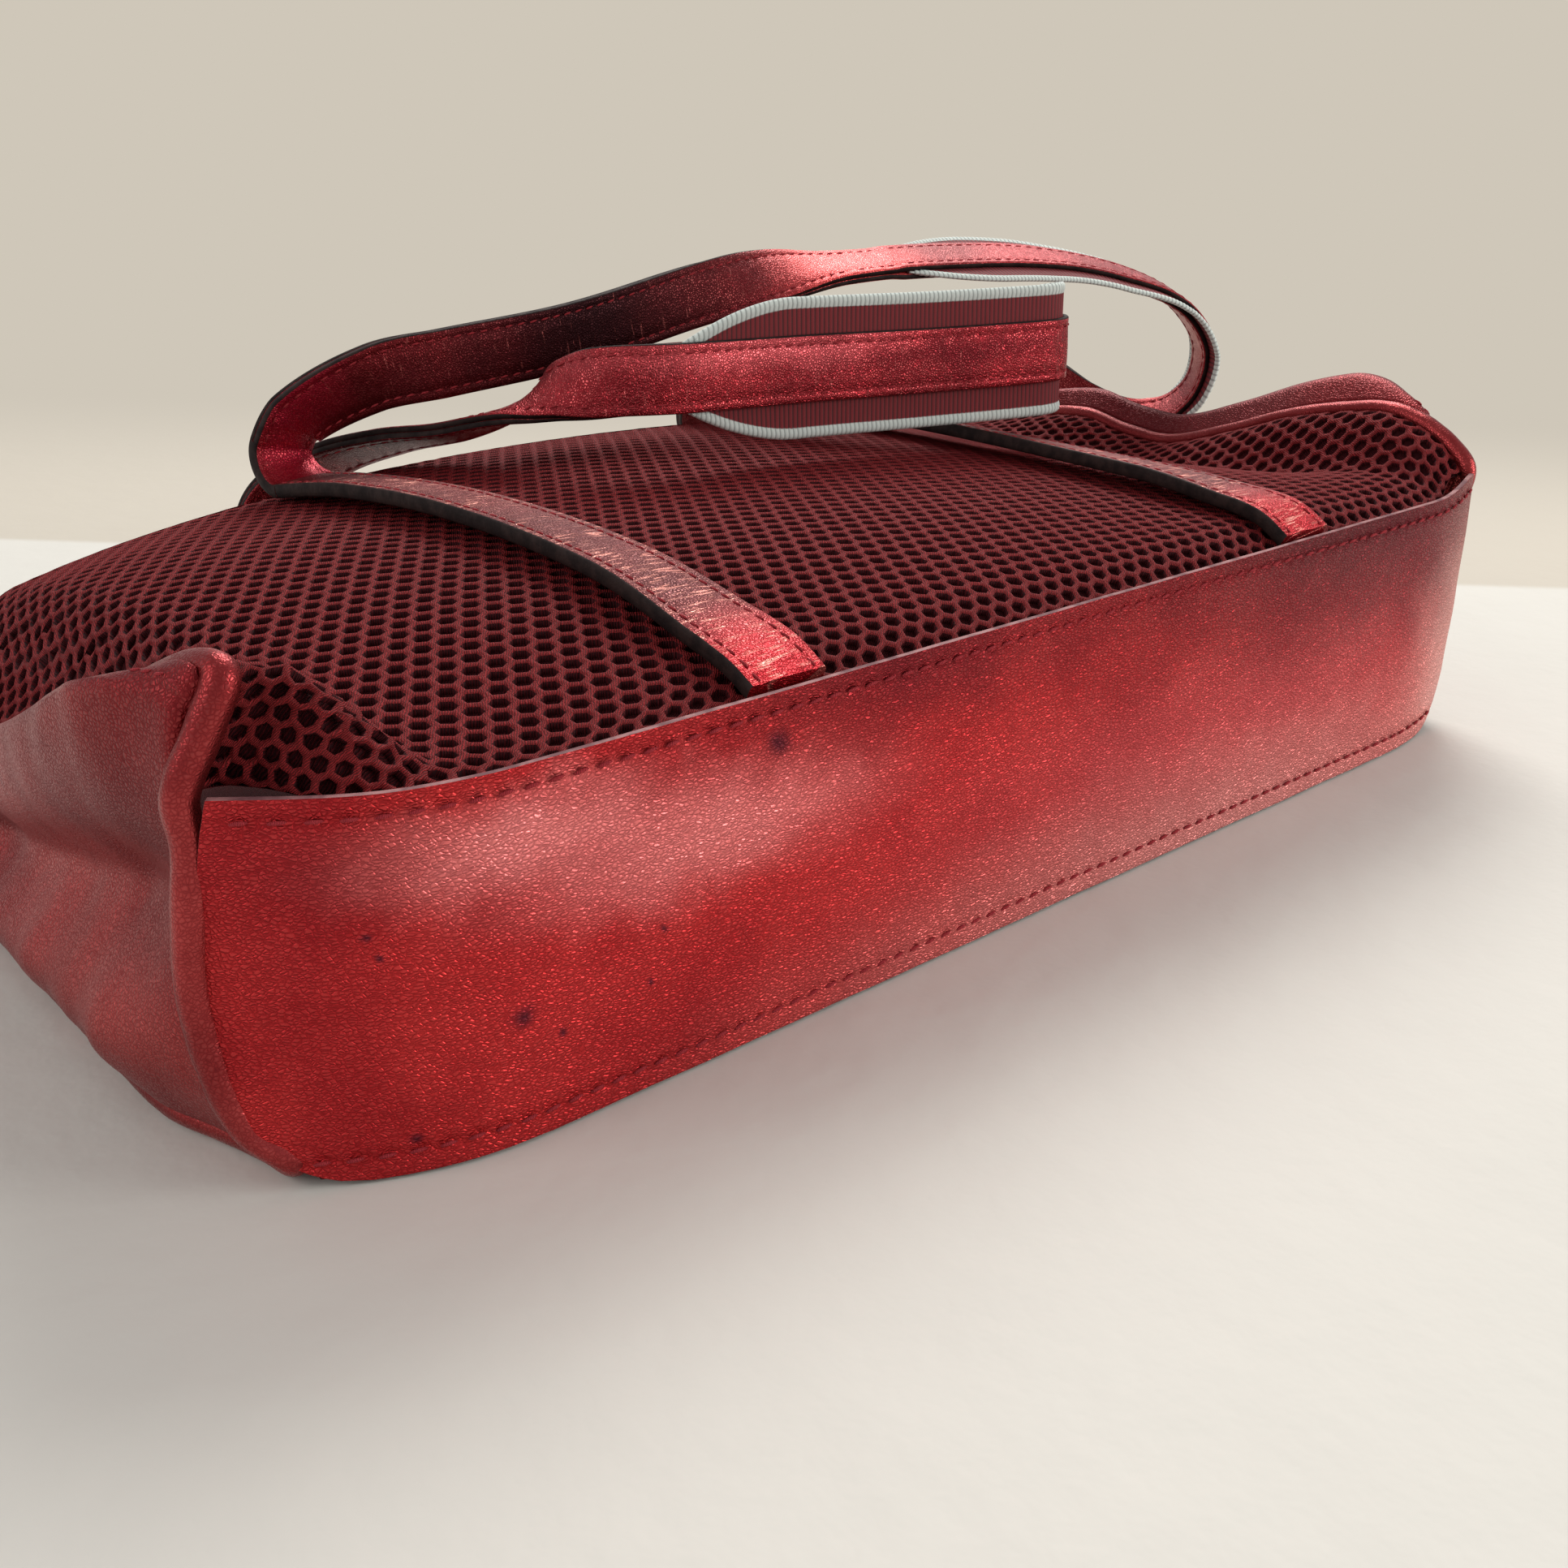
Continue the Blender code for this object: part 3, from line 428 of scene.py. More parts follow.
# %% Routes of the handles
FRONT_ROUTE = (
    (LEFT_STRAP_RIM_X, 0, 0, (0, -1, 0)), (-0.069, 0, 0.007, (0.15, -1, 0)),
    (-0.0655, -0.0035, 0.015, (0.25, -1, 0)), (-0.05, -0.013, 0.024, (0.2, -1, 0)),
    (-0.035, -0.0185, 0.0265, (0.1, -1, 0.05)), (0, -0.02, 0.03, (0, -1, 0.05)),
    (0.038, -0.019, 0.0365, (0, -1, 0.15)), (0.062, -0.019, 0.0395, (-0.05, -0.75, 0.65)),
    (0.083, -0.02, 0.0405, (0, -0.35, 0.95)), (0.12, -0.0265, 0.041, (0.05, -0.3, 0.95)),
    (0.15, -0.034, 0.0395, (0.25, -0.35, 0.9)), (0.172, -0.045, 0.035, (0.45, -0.45, 0.75)),
    (0.188, -0.055, 0.0275, (0.7, -0.55, 0.45)), (0.196, -0.061, 0.015, (0.77, -0.62, 0.1)),
    (0.195, -0.06, 0.002, (0.75, -0.6, -0.3)), (0.1905, -0.052, -0.007, (0.72, -0.45, -0.6)),
    (0.187, -0.039, -0.01, (0.8, -0.2, -0.6)), (0.185, -0.025, -0.007, (0.9, 0.05, -0.4)),
    (0.183, -0.009, 0, (0.95, 0.25, -0.15)), (0.176, 0.008, 0.008, (0.8, 0.6, 0)),
    (0.16, 0.021, 0.013, (0.5, 0.8, 0.35)), (0.14, 0.027, 0.0155, (0.2, 0.6, 0.8)),
    (0.12, 0.026, 0.015, (-0.05, 0.2, 1)), (0.103, 0.019, 0.013, (-0.15, -0.25, 1)),
    (0.092, 0.009, 0.01, (-0.05, -0.6, 0.8)), (0.0885, 0.002, 0.006, (0, -0.9, 0.4)),
    (RIGHT_STRAP_RIM_X, 0, 0, (0, -1, 0)),
)
BACK_ROUTE = (
    (-0.0692, 0.0025, -0.056, (0, 0.9, -0.45)), (-0.07, 0.006, -0.045, (0, 1, -0.15)),
    (-0.0705, 0.011, -0.024, (0, 1, -0.05)), (-0.067, 0.012, -0.008, (0.05, 0.95, 0.3)),
    (-0.055, 0.006, 0.002, (0.15, 0.6, 0.75)), (-0.043, -0.006, 0.0075, (0.2, 0.35, 0.93)),
    (-0.034, -0.021, 0.011, (0.15, 0.15, 0.95)), (-0.027, -0.037, 0.017, (0, -0.2, 0.95)),
    (-0.0225, -0.048, 0.0225, (-0.35, -0.55, 0.7)), (-0.016, -0.059, 0.025, (-0.5, -0.8, 0.25)),
    (-0.004, -0.0665, 0.0255, (-0.35, -0.93, 0.08)), (0.012, -0.0685, 0.0252, (-0.1, -1, 0.05)),
    (0.033, -0.071, 0.0248, (-0.1, -1, 0.05)), (0.066, -0.076, 0.024, (-0.12, -1, 0.05)),
    (0.098, -0.0835, 0.024, (-0.1, -1, 0.05)), (0.106, -0.083, 0.024, (0.4, -0.9, 0.03)),
    (0.1105, -0.078, 0.024, (1, 0, 0)), (0.1065, -0.0725, 0.024, (0.35, 0.95, 0)),
    (0.095, -0.069, 0.024, (0.3, 0.95, 0)), (0.076, -0.062, 0.024, (0.35, 0.93, 0.05)),
    (0.062, -0.05, 0.0225, (0.65, 0.72, 0.2)), (0.055, -0.036, 0.018, (0.7, 0.45, 0.5)),
    (0.053, -0.02, 0.0145, (0.35, 0.15, 0.9)), (0.0545, -0.005, 0.011, (0.05, 0.3, 0.95)),
    (0.059, 0.007, 0.001, (-0.1, 0.8, 0.6)), (0.067, 0.011, -0.013, (-0.05, 1, 0.15)),
    (0.077, 0.0105, -0.03, (0, 1, 0)), (0.085, 0.0065, -0.046, (0, 1, -0.15)),
    (0.0878, 0.0025, -0.056, (0, 0.9, -0.45)),
)
# The back handle's stations were read from the front handle's axis
axis_drop = FRONT_AXIS_Z - BACK_AXIS_Z
back_route = [(LEFT_STRAP_RIM_X, 0.0, 0.0, (0.0, 0.7, -0.7))]
back_route += [(x, beyond, over + axis_drop, facing) for x, beyond, over, facing in BACK_ROUTE]
back_route.append((RIGHT_STRAP_RIM_X, 0.0, 0.0, (0.0, 0.7, -0.7)))


def handle_frames(route, axis_y, axis_z, segments):
    """Stations along a handle: run, point, direction of its width and of its outer face."""
    points = [Vector((x, axis_y + beyond, axis_z + over)) for x, beyond, over, _ in route]
    faces = [Vector(face).normalized() for _, _, _, face in route]
    knots = chord_knots(points)
    fine = evenly(0, knots[-1], 3 * segments)
    reached = [0.0]
    before = heading(knots, points, 0.0)
    for a, b in zip(fine, fine[1:]):
        after = heading(knots, points, b)
        reached.append(reached[-1] + (b - a) + TURN_WEIGHT * (after - before).length)
        before = after
    frames = []
    k = 0
    for goal in evenly(0, reached[-1], segments):
        while k < len(fine) - 2 and reached[k + 1] < goal:
            k += 1
        run = fine[k] + (fine[k + 1] - fine[k]) * (goal - reached[k]) / (reached[k + 1] - reached[k])
        along = heading(knots, points, run)
        face = through(knots, faces, run)
        face = (face - along * face.dot(along)).normalized()
        frames.append((run, through(knots, points, run), face.cross(along), face))
    return frames

# %% [markdown]
# ## Finishes
# Every finish is a small network of nodes. Effects that several finishes share, such as the grain of the
# leather or the uneven tone that dye leaves, are groups with their own sliders, built once and reused.
# All patterns are fixed to the piece by its own coordinates, in metres, so a grain is as large as it is.

# %% Node helpers


def tone(red, green, blue):
    """A colour as the shader wants it, from values between 0 and 255."""
    def linear(value):
        value /= 255
        return value / 12.92 if value <= 0.04045 else ((value + 0.055) / 1.055) ** 2.4
    return linear(red), linear(green), linear(blue), 1.0


class Board:
    """Nodes on one tree, added and wired by short calls."""

    def __init__(self, tree):
        self.tree = tree

    def add(self, kind, settings=(), **inputs):
        """Adds a node; inputs are values or the sockets that feed them, by name with _ for a space."""
        node = self.tree.nodes.new(kind)
        for key, value in dict(settings).items():
            setattr(node, key, value)
        for key, value in inputs.items():
            slot = int(key[1:]) if key[0] == "i" and key[1:].isdigit() else key.replace("_", " ")
            self.feed(node.inputs[slot], value)
        return node

    def feed(self, socket, value):
        """Sets a socket to a value, or wires another node's socket to it."""
        if isinstance(value, bpy.types.NodeSocket):
            self.tree.links.new(value, socket)
        else:
            socket.default_value = value

    def sum(self, kind, a, b=0.0, c=0.0):
        """A Math node's result."""
        return self.add('ShaderNodeMath', {"operation": kind}, i0=a, i1=b, i2=c).outputs[0]

    def vector(self, kind, a, b=(0.0, 0.0, 0.0), c=(0.0, 0.0, 0.0)):
        """A Vector Math node's results: a vector, and a value for kinds that give one."""
        return self.add('ShaderNodeVectorMath', {"operation": kind}, i0=a, i1=b, i2=c).outputs

    def span(self, value, low, high, to_low=0.0, to_high=1.0, smooth=True):
        """A value stretched from one range to another."""
        kind = 'SMOOTHSTEP' if smooth else 'LINEAR'
        return self.add('ShaderNodeMapRange', {"interpolation_type": kind}, Value=value, From_Min=low,
                        From_Max=high, To_Min=to_low, To_Max=to_high).outputs["Result"]

    def mix(self, share, a, b):
        """Two colours mixed."""
        node = self.tree.nodes.new('ShaderNodeMix')
        node.data_type = 'RGBA'
        for socket, value in zip((node.inputs[0], node.inputs[6], node.inputs[7]), (share, a, b)):
            self.feed(socket, value)
        return node.outputs[2]

    def over(self, mask, share, colour, other):
        """A colour with another laid over it, at a share of a mask."""
        return self.mix(self.sum('MULTIPLY', mask, share), colour, other)

    def noise(self, vector, scale, detail=3.0, rough=0.55):
        """A soft noise between 0 and 1."""
        return self.add('ShaderNodeTexNoise', Vector=vector, Scale=scale, Detail=detail,
                        Roughness=rough).outputs["Fac"]


def group(name, inputs, outputs):
    """An empty node group: its tree, its board, the sockets to read from and those to feed.

    An input is a value with its default, or a vector where the default is None.
    """
    tree = bpy.data.node_groups.new(name, 'ShaderNodeTree')
    for label, value in inputs.items():
        kind = 'NodeSocketVector' if value is None else 'NodeSocketFloat'
        made = tree.interface.new_socket(label, in_out='INPUT', socket_type=kind)
        if value is not None:
            made.default_value = value
    for label in outputs:
        tree.interface.new_socket(label, in_out='OUTPUT', socket_type='NodeSocketFloat')
    return (tree, Board(tree), tree.nodes.new('NodeGroupInput').outputs,
            tree.nodes.new('NodeGroupOutput').inputs)


# %% [markdown]
# Pebbled leather is a skin of small rounded cells with thin valleys between them, of uneven size. A
# Voronoi texture gives the cells, noise bends their walls, and a finer noise roughens their tops.

# %% Group: leather grain
grain_tree, g, given, out = group("leather_grain", {"Vector": None, "Cells": 900.0}, ("Height", "Valley"))
bend = g.add('ShaderNodeTexNoise', Vector=given["Vector"], Scale=420.0, Detail=2.0).outputs["Color"]
bent = g.vector('MULTIPLY_ADD', bend, (0.0011, 0.0011, 0.0011), given["Vector"])[0]
from_wall = g.add('ShaderNodeTexVoronoi', {"feature": 'DISTANCE_TO_EDGE'}, Vector=bent,
                  Scale=given["Cells"]).outputs["Distance"]
fine = g.noise(given["Vector"], 2600.0, 2.0)
g.feed(out["Height"], g.sum('MULTIPLY_ADD', fine, 0.35, g.span(from_wall, 0.0, 0.28)))
g.feed(out["Valley"], g.span(from_wall, 0.0, 0.12, 1.0, 0.0))

# %% [markdown]
# Dye and foil never lie evenly: broad clouds of tone, and small dark specks where the foil has worn or
# taken a stain. Both are masks between 0 and 1 that a finish mixes its colours with.

# %% Group: uneven tone and stains
tone_tree, g, given, out = group("uneven_tone", {"Vector": None, "Size": 28.0}, ("Clouds", "Stains"))
g.feed(out["Clouds"], g.span(g.noise(given["Vector"], given["Size"], 5.0, 0.6), 0.32, 0.68))
spots = g.add('ShaderNodeTexVoronoi', {"feature": 'F1'}, Vector=given["Vector"], Scale=27.0).outputs
ragged = g.sum('MULTIPLY_ADD', g.noise(given["Vector"], 620.0, 3.0), 0.10, spots["Distance"])
rare = g.span(g.add('ShaderNodeSeparateColor', Color=spots["Color"]).outputs[0], 0.50, 0.56)
g.feed(out["Stains"], g.sum('MULTIPLY', g.span(ragged, 0.10, 0.17, 1.0, 0.0), rare))

# %% [markdown]
# A soft patch is a mask round a centre, with its own size along each axis and a ragged border; a finish
# may take several. The leathers lay painted highlights, painted reflections and painted shade with it, and
# small stains.

# %% Group: soft patch
patch_tree, g, given, out = group(
    "soft_patch", {"Vector": None, "Centre": None, "Size": None, "Ragged": 0.012}, ("Mask",))
ripple = g.add('ShaderNodeTexNoise', Vector=given["Vector"], Scale=90.0, Detail=6.0).outputs["Color"]
either_way = g.vector('SUBTRACT', ripple, (0.5, 0.5, 0.5))[0]
moved = g.vector('MULTIPLY_ADD', either_way, given["Ragged"], given["Vector"])[0]
apart = g.vector('SUBTRACT', moved, given["Centre"])[0]
reach = g.vector('LENGTH', g.vector('DIVIDE', apart, given["Size"])[0])["Value"]
g.feed(out["Mask"], g.span(reach, 0.0, 1.15, 1.0, 0.0))

# %% [markdown]
# Yarn is a run of short slanted fibres. The same group serves the net, the stitches, the ribbon and the
# cloth: a wave texture at a slant for the plies, and a noise for the fuzz.

# %% Group: yarn
yarn_tree, g, given, out = group("yarn", {"Vector": None, "Twists": 900.0}, ("Height", "Fuzz"))
slant = g.add('ShaderNodeVectorRotate', {"rotation_type": 'Z_AXIS'}, Vector=given["Vector"], Angle=0.6)
ply = g.add('ShaderNodeTexWave', Vector=slant.outputs[0], Scale=given["Twists"], Distortion=5.0,
            Detail=2.0, Detail_Scale=1.4).outputs["Fac"]
hairs = g.noise(given["Vector"], 3200.0, 3.0, 0.7)
g.feed(out["Height"], g.sum('MULTIPLY_ADD', hairs, 0.6, ply))
g.feed(out["Fuzz"], g.span(hairs, 0.35, 0.7))
print("groups:", [tree.name for tree in bpy.data.node_groups])

# %% [markdown]
# The leather is foiled: a thin metal-coloured film over red hide. It is partly metallic, with a broad soft
# shine. Painted shade darkens the valleys of the grain and painted glints pale the cells' tops.

# %% Finish: foiled leather


def new_finish(name):
    """A material with its board, its shader and its object coordinates."""
    made = bpy.data.materials.new(name)
    made.use_nodes = True
    board = Board(made.node_tree)
    shader = made.node_tree.nodes["Principled BSDF"]
    coordinates = board.add('ShaderNodeTexCoord').outputs
    return made, board, shader, coordinates


def use(board, tree, **inputs):
    """One of the shared groups, placed in a finish."""
    node = board.tree.nodes.new('ShaderNodeGroup')
    node.node_tree = tree
    for key, value in inputs.items():
        board.feed(node.inputs[key], value)
    return node.outputs


def finish_with(board, shader, colour, rough, height, depth, **values):
    """Feeds a finish's colour, roughness and bump; values are set on the shader by their names."""
    bump = board.add('ShaderNodeBump', Height=height, Distance=depth).outputs[0]
    for name, value in (("Base Color", colour), ("Roughness", rough), ("Normal", bump)):
        board.feed(shader.inputs[name], value)
    for name, value in values.items():
        shader.inputs[name.replace("_", " ")].default_value = value


# Patches darker in red than DARK_TONE are the deep painted shade and dark painted reflections, laid over
# the grain.
DARK_TONE = 0.2
# The valley tone is painted shade in the grain's valleys; the speck and stain tones are the leather's own
# marks.
VALLEY_SHADE_TONE, SPECK_TONE, STAIN_TONE = tone(84, 8, 18), tone(78, 26, 44), tone(74, 30, 48)


def foiled_leather(name, base, deep, glint_and_crack_tone, cells, depth, rough, metal=0.85, creases=0.0, cracked=0.60,
                   stains=1.0, painted_light=(), specks=(), stretch=(1.0, 1.0, 1.0), painted_glints=0.30):
    """Foiled leather: its two tones and the tone of the painted glints on its cells' tops, which its
    cracks take too, then the size, depth and roughness of its grain. creases is how strongly fine cracks
    run across the strip, in its own UV map.

    The patches of painted light are (centre, size, colour, share): painted highlights, painted reflections
    and painted shade; the dark ones lie over the grain. specks are the centres of small dark stains with
    their sizes.
    """
    made, board, shader, at = new_finish(name)
    drawn = board.add('ShaderNodeMapping', Vector=at["Object"], Scale=stretch).outputs[0]
    grain = use(board, grain_tree, Vector=drawn, Cells=cells)
    tones = use(board, tone_tree, Vector=at["Object"], Size=30.0)

    # Lays the patches of painted light: painted highlights and pale painted reflections first, painted
    # shade and dark painted reflections when dark is true.
    def patched(colour, dark):
        for centre, size, painted_tone, share in painted_light:
            if (painted_tone[0] < DARK_TONE) == dark:
                spot = use(board, patch_tree, Vector=at["Object"], Centre=centre, Size=size)["Mask"]
                colour = board.over(spot, share, colour, painted_tone)
        return colour

    colour = patched(board.mix(tones["Clouds"], base, deep), False)
    for centre, size in specks:
        spot = use(board, patch_tree, Vector=at["Object"], Centre=centre, Size=(size, 1.0, size),
                   Ragged=0.006)["Mask"]
        colour = board.over(spot, 0.9, colour, SPECK_TONE)
    # Painted glints: the cells' tops paled towards the glint tone.
    colour = board.over(board.span(grain["Height"], 0.85, 1.35), painted_glints, colour, glint_and_crack_tone)
    # Painted shade: the grain's valleys darkened, then the dark patches laid over.
    colour = patched(board.over(grain["Valley"], 0.34, colour, VALLEY_SHADE_TONE), True)
    height = grain["Height"]
    if creases:
        flat = board.add('ShaderNodeMapping', Vector=at["UV"], Scale=(0.16, 1.0, 1.0)).outputs[0]
        cracks = board.span(board.noise(flat, 1150.0, 2.0, 0.5), cracked, cracked + 0.08)
        thick_there = board.span(board.noise(at["UV"], 90.0, 2.0), 0.38, 0.62, 0.15, 1.0)
        cracks = board.sum('MULTIPLY', cracks, thick_there)
        height = board.sum('MULTIPLY_ADD', cracks, -creases, grain["Height"])
        colour = board.over(cracks, min(creases * 0.30, 0.7), colour, glint_and_crack_tone)
    colour = board.over(tones["Stains"], 0.75 * stains, colour, STAIN_TONE)
    shine = board.span(grain["Valley"], 0.0, 1.0, rough, rough + 0.25, smooth=False)
    worn = board.sum('MULTIPLY_ADD', tones["Clouds"], 0.10, shine)
    finish_with(board, shader, colour, worn, height, depth, Metallic=metal)
    return made


# Painted light on the base: a dark painted reflection over the upper right and a darker painted band under
# the top seam, painted highlights at the upper left, pale painted reflections of the table along the
# bottom and on the right end, and a darker patch at the top of the left end.
base_painted_light = (
    ((0.085, -0.09, 0.074), (0.150, 1.0, 0.050), tone(54, 9, 20), 0.92),
    ((0.130, -0.09, 0.048), (0.095, 1.0, 0.040), tone(132, 28, 38), 0.80),
    ((0.055, -0.09, 0.024), (0.110, 1.0, 0.022), tone(214, 96, 98), 0.55),
    ((-0.045, -0.09, 0.061), (0.060, 1.0, 0.018), tone(84, 16, 28), 0.70),
    ((-0.112, -0.09, 0.050), (0.034, 1.0, 0.010), tone(255, 150, 148), 0.85),
    ((-0.080, -0.09, 0.041), (0.046, 1.0, 0.013), tone(255, 150, 148), 0.75),
    ((0.060, -0.09, 0.000), (0.150, 1.0, 0.026), tone(232, 160, 154), 0.75),
    ((0.158, -0.08, 0.018), (0.040, 1.0, 0.055), tone(222, 168, 158), 0.75),
    ((-0.143, -0.09, 0.052), (0.020, 1.0, 0.022), tone(140, 20, 32), 0.50),
)
base_specks = (
    ((-0.1151, -0.09, 0.0218), 0.0024), ((-0.0673, -0.09, 0.0525), 0.0030),
    ((-0.1317, -0.09, 0.0057), 0.0015), ((-0.1350, -0.09, 0.0400), 0.0009),
    ((-0.1335, -0.09, 0.0365), 0.0010), ((-0.1080, -0.09, 0.0170), 0.0012),
    ((-0.0900, -0.09, 0.0280), 0.0009), ((-0.0930, -0.09, 0.0195), 0.0009),
)
base_leather = foiled_leather("base_leather", tone(210, 54, 54), tone(182, 38, 42), tone(238, 116, 112),
                              cells=1350.0, depth=0.00013, rough=0.35, painted_light=base_painted_light,
                              specks=base_specks, stains=0.0, stretch=(0.75, 1.0, 1.4), painted_glints=0.12)
# Painted light on the gussets: painted shade under the left gusset's fold, a painted highlight on the
# bulge below it, and painted shade over the right gusset's upper part.
gusset_painted_light = (
    ((-0.165, -0.050, 0.050), (0.030, 0.030, 0.022), tone(96, 24, 30), 0.60),
    ((-0.165, -0.040, 0.020), (0.040, 0.060, 0.016), tone(206, 92, 88), 0.40),
    ((0.175, 0.020, 0.065), (0.060, 0.120, 0.050), tone(84, 22, 28), 0.80),
)
gusset_leather = foiled_leather("gusset_leather", tone(158, 44, 46), tone(124, 30, 34),
                                tone(205, 110, 105), cells=1500.0, depth=0.00006, rough=0.27,
                                painted_light=gusset_painted_light, painted_glints=0.14)
# Painted highlights: the straps' feet, by the base, lit brighter red.
strap_painted_light = (
    ((-0.063, -0.086, 0.062), (0.022, 0.024, 0.030), tone(205, 32, 46), 0.95),
    ((0.078, -0.086, 0.062), (0.022, 0.024, 0.030), tone(205, 36, 48), 0.90),
)
strap_leather = foiled_leather("strap_leather", tone(112, 38, 39), tone(88, 29, 32), tone(236, 160, 146),
                               cells=1700.0, depth=0.00009, rough=0.33, metal=0.80, creases=3.2,
                               cracked=0.54, painted_glints=0.12, stains=0.3, painted_light=strap_painted_light)
# Painted light on the front handle: painted shade over its long span, and painted highlights at its start
# and at its twist.
front_handle_painted_light = (
    ((0.004, 0.070, 0.095), (0.078, 1.0, 1.0), tone(26, 2, 6), 0.96),
    ((-0.066, 0.080, 0.078), (0.012, 1.0, 1.0), tone(206, 30, 66), 0.6),
    ((0.084, 0.070, 0.100), (0.028, 1.0, 1.0), tone(240, 90, 88), 0.80),
)
front_handle_leather = foiled_leather("front_handle_leather", tone(158, 42, 48), tone(120, 30, 36),
                                      tone(214, 120, 114), cells=1700.0, depth=0.00006, rough=0.28,
                                      creases=1.0, cracked=0.63, stains=0.2,
                                      painted_light=front_handle_painted_light)
# Painted light on the back handle: a painted highlight along the middle of its long span, a darker painted
# band below it, and painted shade on its underside at its left start.
back_handle_painted_light = (
    ((0.020, 0.02, 0.092), (0.050, 1.0, 0.006), tone(240, 110, 116), 0.60),
    ((0.075, 0.02, 0.088), (0.040, 1.0, 0.004), tone(96, 18, 28), 0.60),
    ((-0.052, 0.095, 0.074), (0.040, 0.030, 0.034), tone(18, 4, 6), 0.95),
)
back_handle_leather = foiled_leather("back_handle_leather", tone(178, 48, 56), tone(128, 30, 38),
                                     tone(224, 120, 118), cells=1700.0, depth=0.00008, rough=0.26,
                                     creases=1.2, cracked=0.62, stains=0.2,
                                     painted_light=back_handle_painted_light)
# Painted shade over the right bead's upper part.
bead_painted_shade = (((0.170, 0.020, 0.085), (0.060, 0.160, 0.060), tone(104, 28, 32), 0.85),)
bead_leather = foiled_leather("bead_leather", tone(172, 62, 62), tone(138, 40, 42), tone(226, 130, 126),
                              cells=1500.0, depth=0.00003, rough=0.22, stains=0.3, painted_glints=0.10,
                              painted_light=bead_painted_shade)

# %% [markdown]
# The other finishes: the paint that seals a cut edge, with a paler copy for the base that is a painted
# highlight, the stitching thread, the net's yarn and the dark yarn of its holes and inner layer, which is
# partly painted shade, grosgrain with its pale borders, the lining cloth, and the suede side of the
# facings.

# %% Finishes: painted edge, thread, yarn, ribbon, lining, facing, board


def plain_finish(name, colour, other, rough, bumps, depth):
    """A matt finish of two mixed colours, with a noise for its surface."""
    made, board, shader, at = new_finish(name)
    tones = board.noise(at["Object"], 300.0, 4.0)
    finish_with(board, shader, board.mix(board.span(tones, 0.35, 0.65), colour, other),
                board.span(tones, 0.2, 0.8, rough, rough + 0.12), board.noise(at["Object"], bumps, 3.0),
                depth, Specular_IOR_Level=0.15)
    return made


def woven_finish(name, colour, other, twists, depth, fleck=0.5, coordinates="Object"):
    """Yarn or cloth: fibres with a darker tone between them."""
    made, board, shader, at = new_finish(name)
    fibre = use(board, yarn_tree, Vector=at[coordinates], Twists=twists)
    colour = board.mix(board.span(fibre["Height"], 0.3, 1.3), other, colour)
    finish_with(board, shader, board.over(fibre["Fuzz"], fleck * 0.3, colour, tone(186, 84, 82)),
                board.span(fibre["Fuzz"], 0.0, 1.0, 0.75, 0.85), fibre["Height"], depth,
                Specular_IOR_Level=0.2)
    return made


painted_edge = plain_finish("painted_edge", tone(46, 33, 31), tone(28, 19, 19), 0.60, 900.0, 0.00010)
# A paler copy of the edge paint for the base's cut edge: a painted highlight where light grazes it.
lit_base_edge = plain_finish("lit_base_edge", tone(158, 112, 112), tone(108, 70, 74), 0.55, 700.0, 0.00008)
board_finish = plain_finish("stiffening_board", tone(150, 124, 92), tone(120, 96, 70), 0.8, 500.0, 0.0001)
thread = woven_finish("stitching_thread", tone(176, 52, 60), tone(120, 22, 32), 1500.0, 0.00006)
net_yarn = woven_finish("net_yarn", tone(142, 27, 32), tone(80, 8, 12), 800.0, 0.00018,
                        coordinates="UV", fleck=0.35)
# The dark yarn of the net's inner layer, its own dark red deepened as painted shade; it also colours the
# holes' walls, which is painted shade.
hole_shade_yarn = woven_finish("hole_shade_yarn", tone(72, 4, 12), tone(38, 1, 6), 700.0, 0.0002,
                           coordinates="UV", fleck=0.02)
lining_cloth = woven_finish("lining_cloth", tone(98, 30, 34), tone(60, 14, 18), 900.0, 0.00008,
                            coordinates="UV", fleck=0.2)
facing_leather = foiled_leather("facing_leather", tone(150, 44, 48), tone(120, 30, 36),
                                tone(176, 90, 88), cells=1200.0, depth=0.00006, rough=0.45, metal=0.3)

# %% [markdown]
# Grosgrain is a ribbon with stout cross ribs. Its borders are woven in pale yarn, so the colour follows
# the ribbon's own map: across it in U, along it in V.

# %% Finish: grosgrain
RIB_PITCH = 0.00125
PALE_BORDER = 0.0026
grosgrain, board, shader, at = new_finish("grosgrain")
flat = board.add('ShaderNodeSeparateXYZ', Vector=at["UV"]).outputs
from_middle = board.sum('ABSOLUTE', flat[0])
ragged = board.sum('MULTIPLY_ADD', board.noise(at["UV"], 1500.0, 2.0), 0.00035, from_middle)
border = RIBBON_WIDTH / 2 - PALE_BORDER
pale = board.span(ragged, border + 0.00005, border + 0.0004)
rib = board.sum('ABSOLUTE', board.sum('SINE', board.sum('MULTIPLY', flat[1], math.pi / RIB_PITCH)))
raised = board.span(rib, 0.1, 0.8)
fibre = use(board, yarn_tree, Vector=at["UV"], Twists=1600.0)
colour = board.mix(pale, board.mix(raised, tone(58, 5, 12), tone(124, 18, 28)),
                   board.mix(raised, tone(160, 170, 166), tone(214, 224, 218)))
finish_with(board, shader, board.over(fibre["Fuzz"], 0.08, colour, tone(190, 120, 120)),
            board.span(fibre["Fuzz"], 0.0, 1.0, 0.65, 0.85), fibre["Height"], 0.00005)
print("finishes:", [made.name for made in bpy.data.materials if made.use_nodes])

# %% [markdown]
# ## Ways of making
# Nearly everything here is a strip or a sheet. Both start as a flat grid, whose rows and columns are then
# carried to their place. The grid keeps its faces in order, so each one gets its place in a flat map too.

# %% Sheets and strips


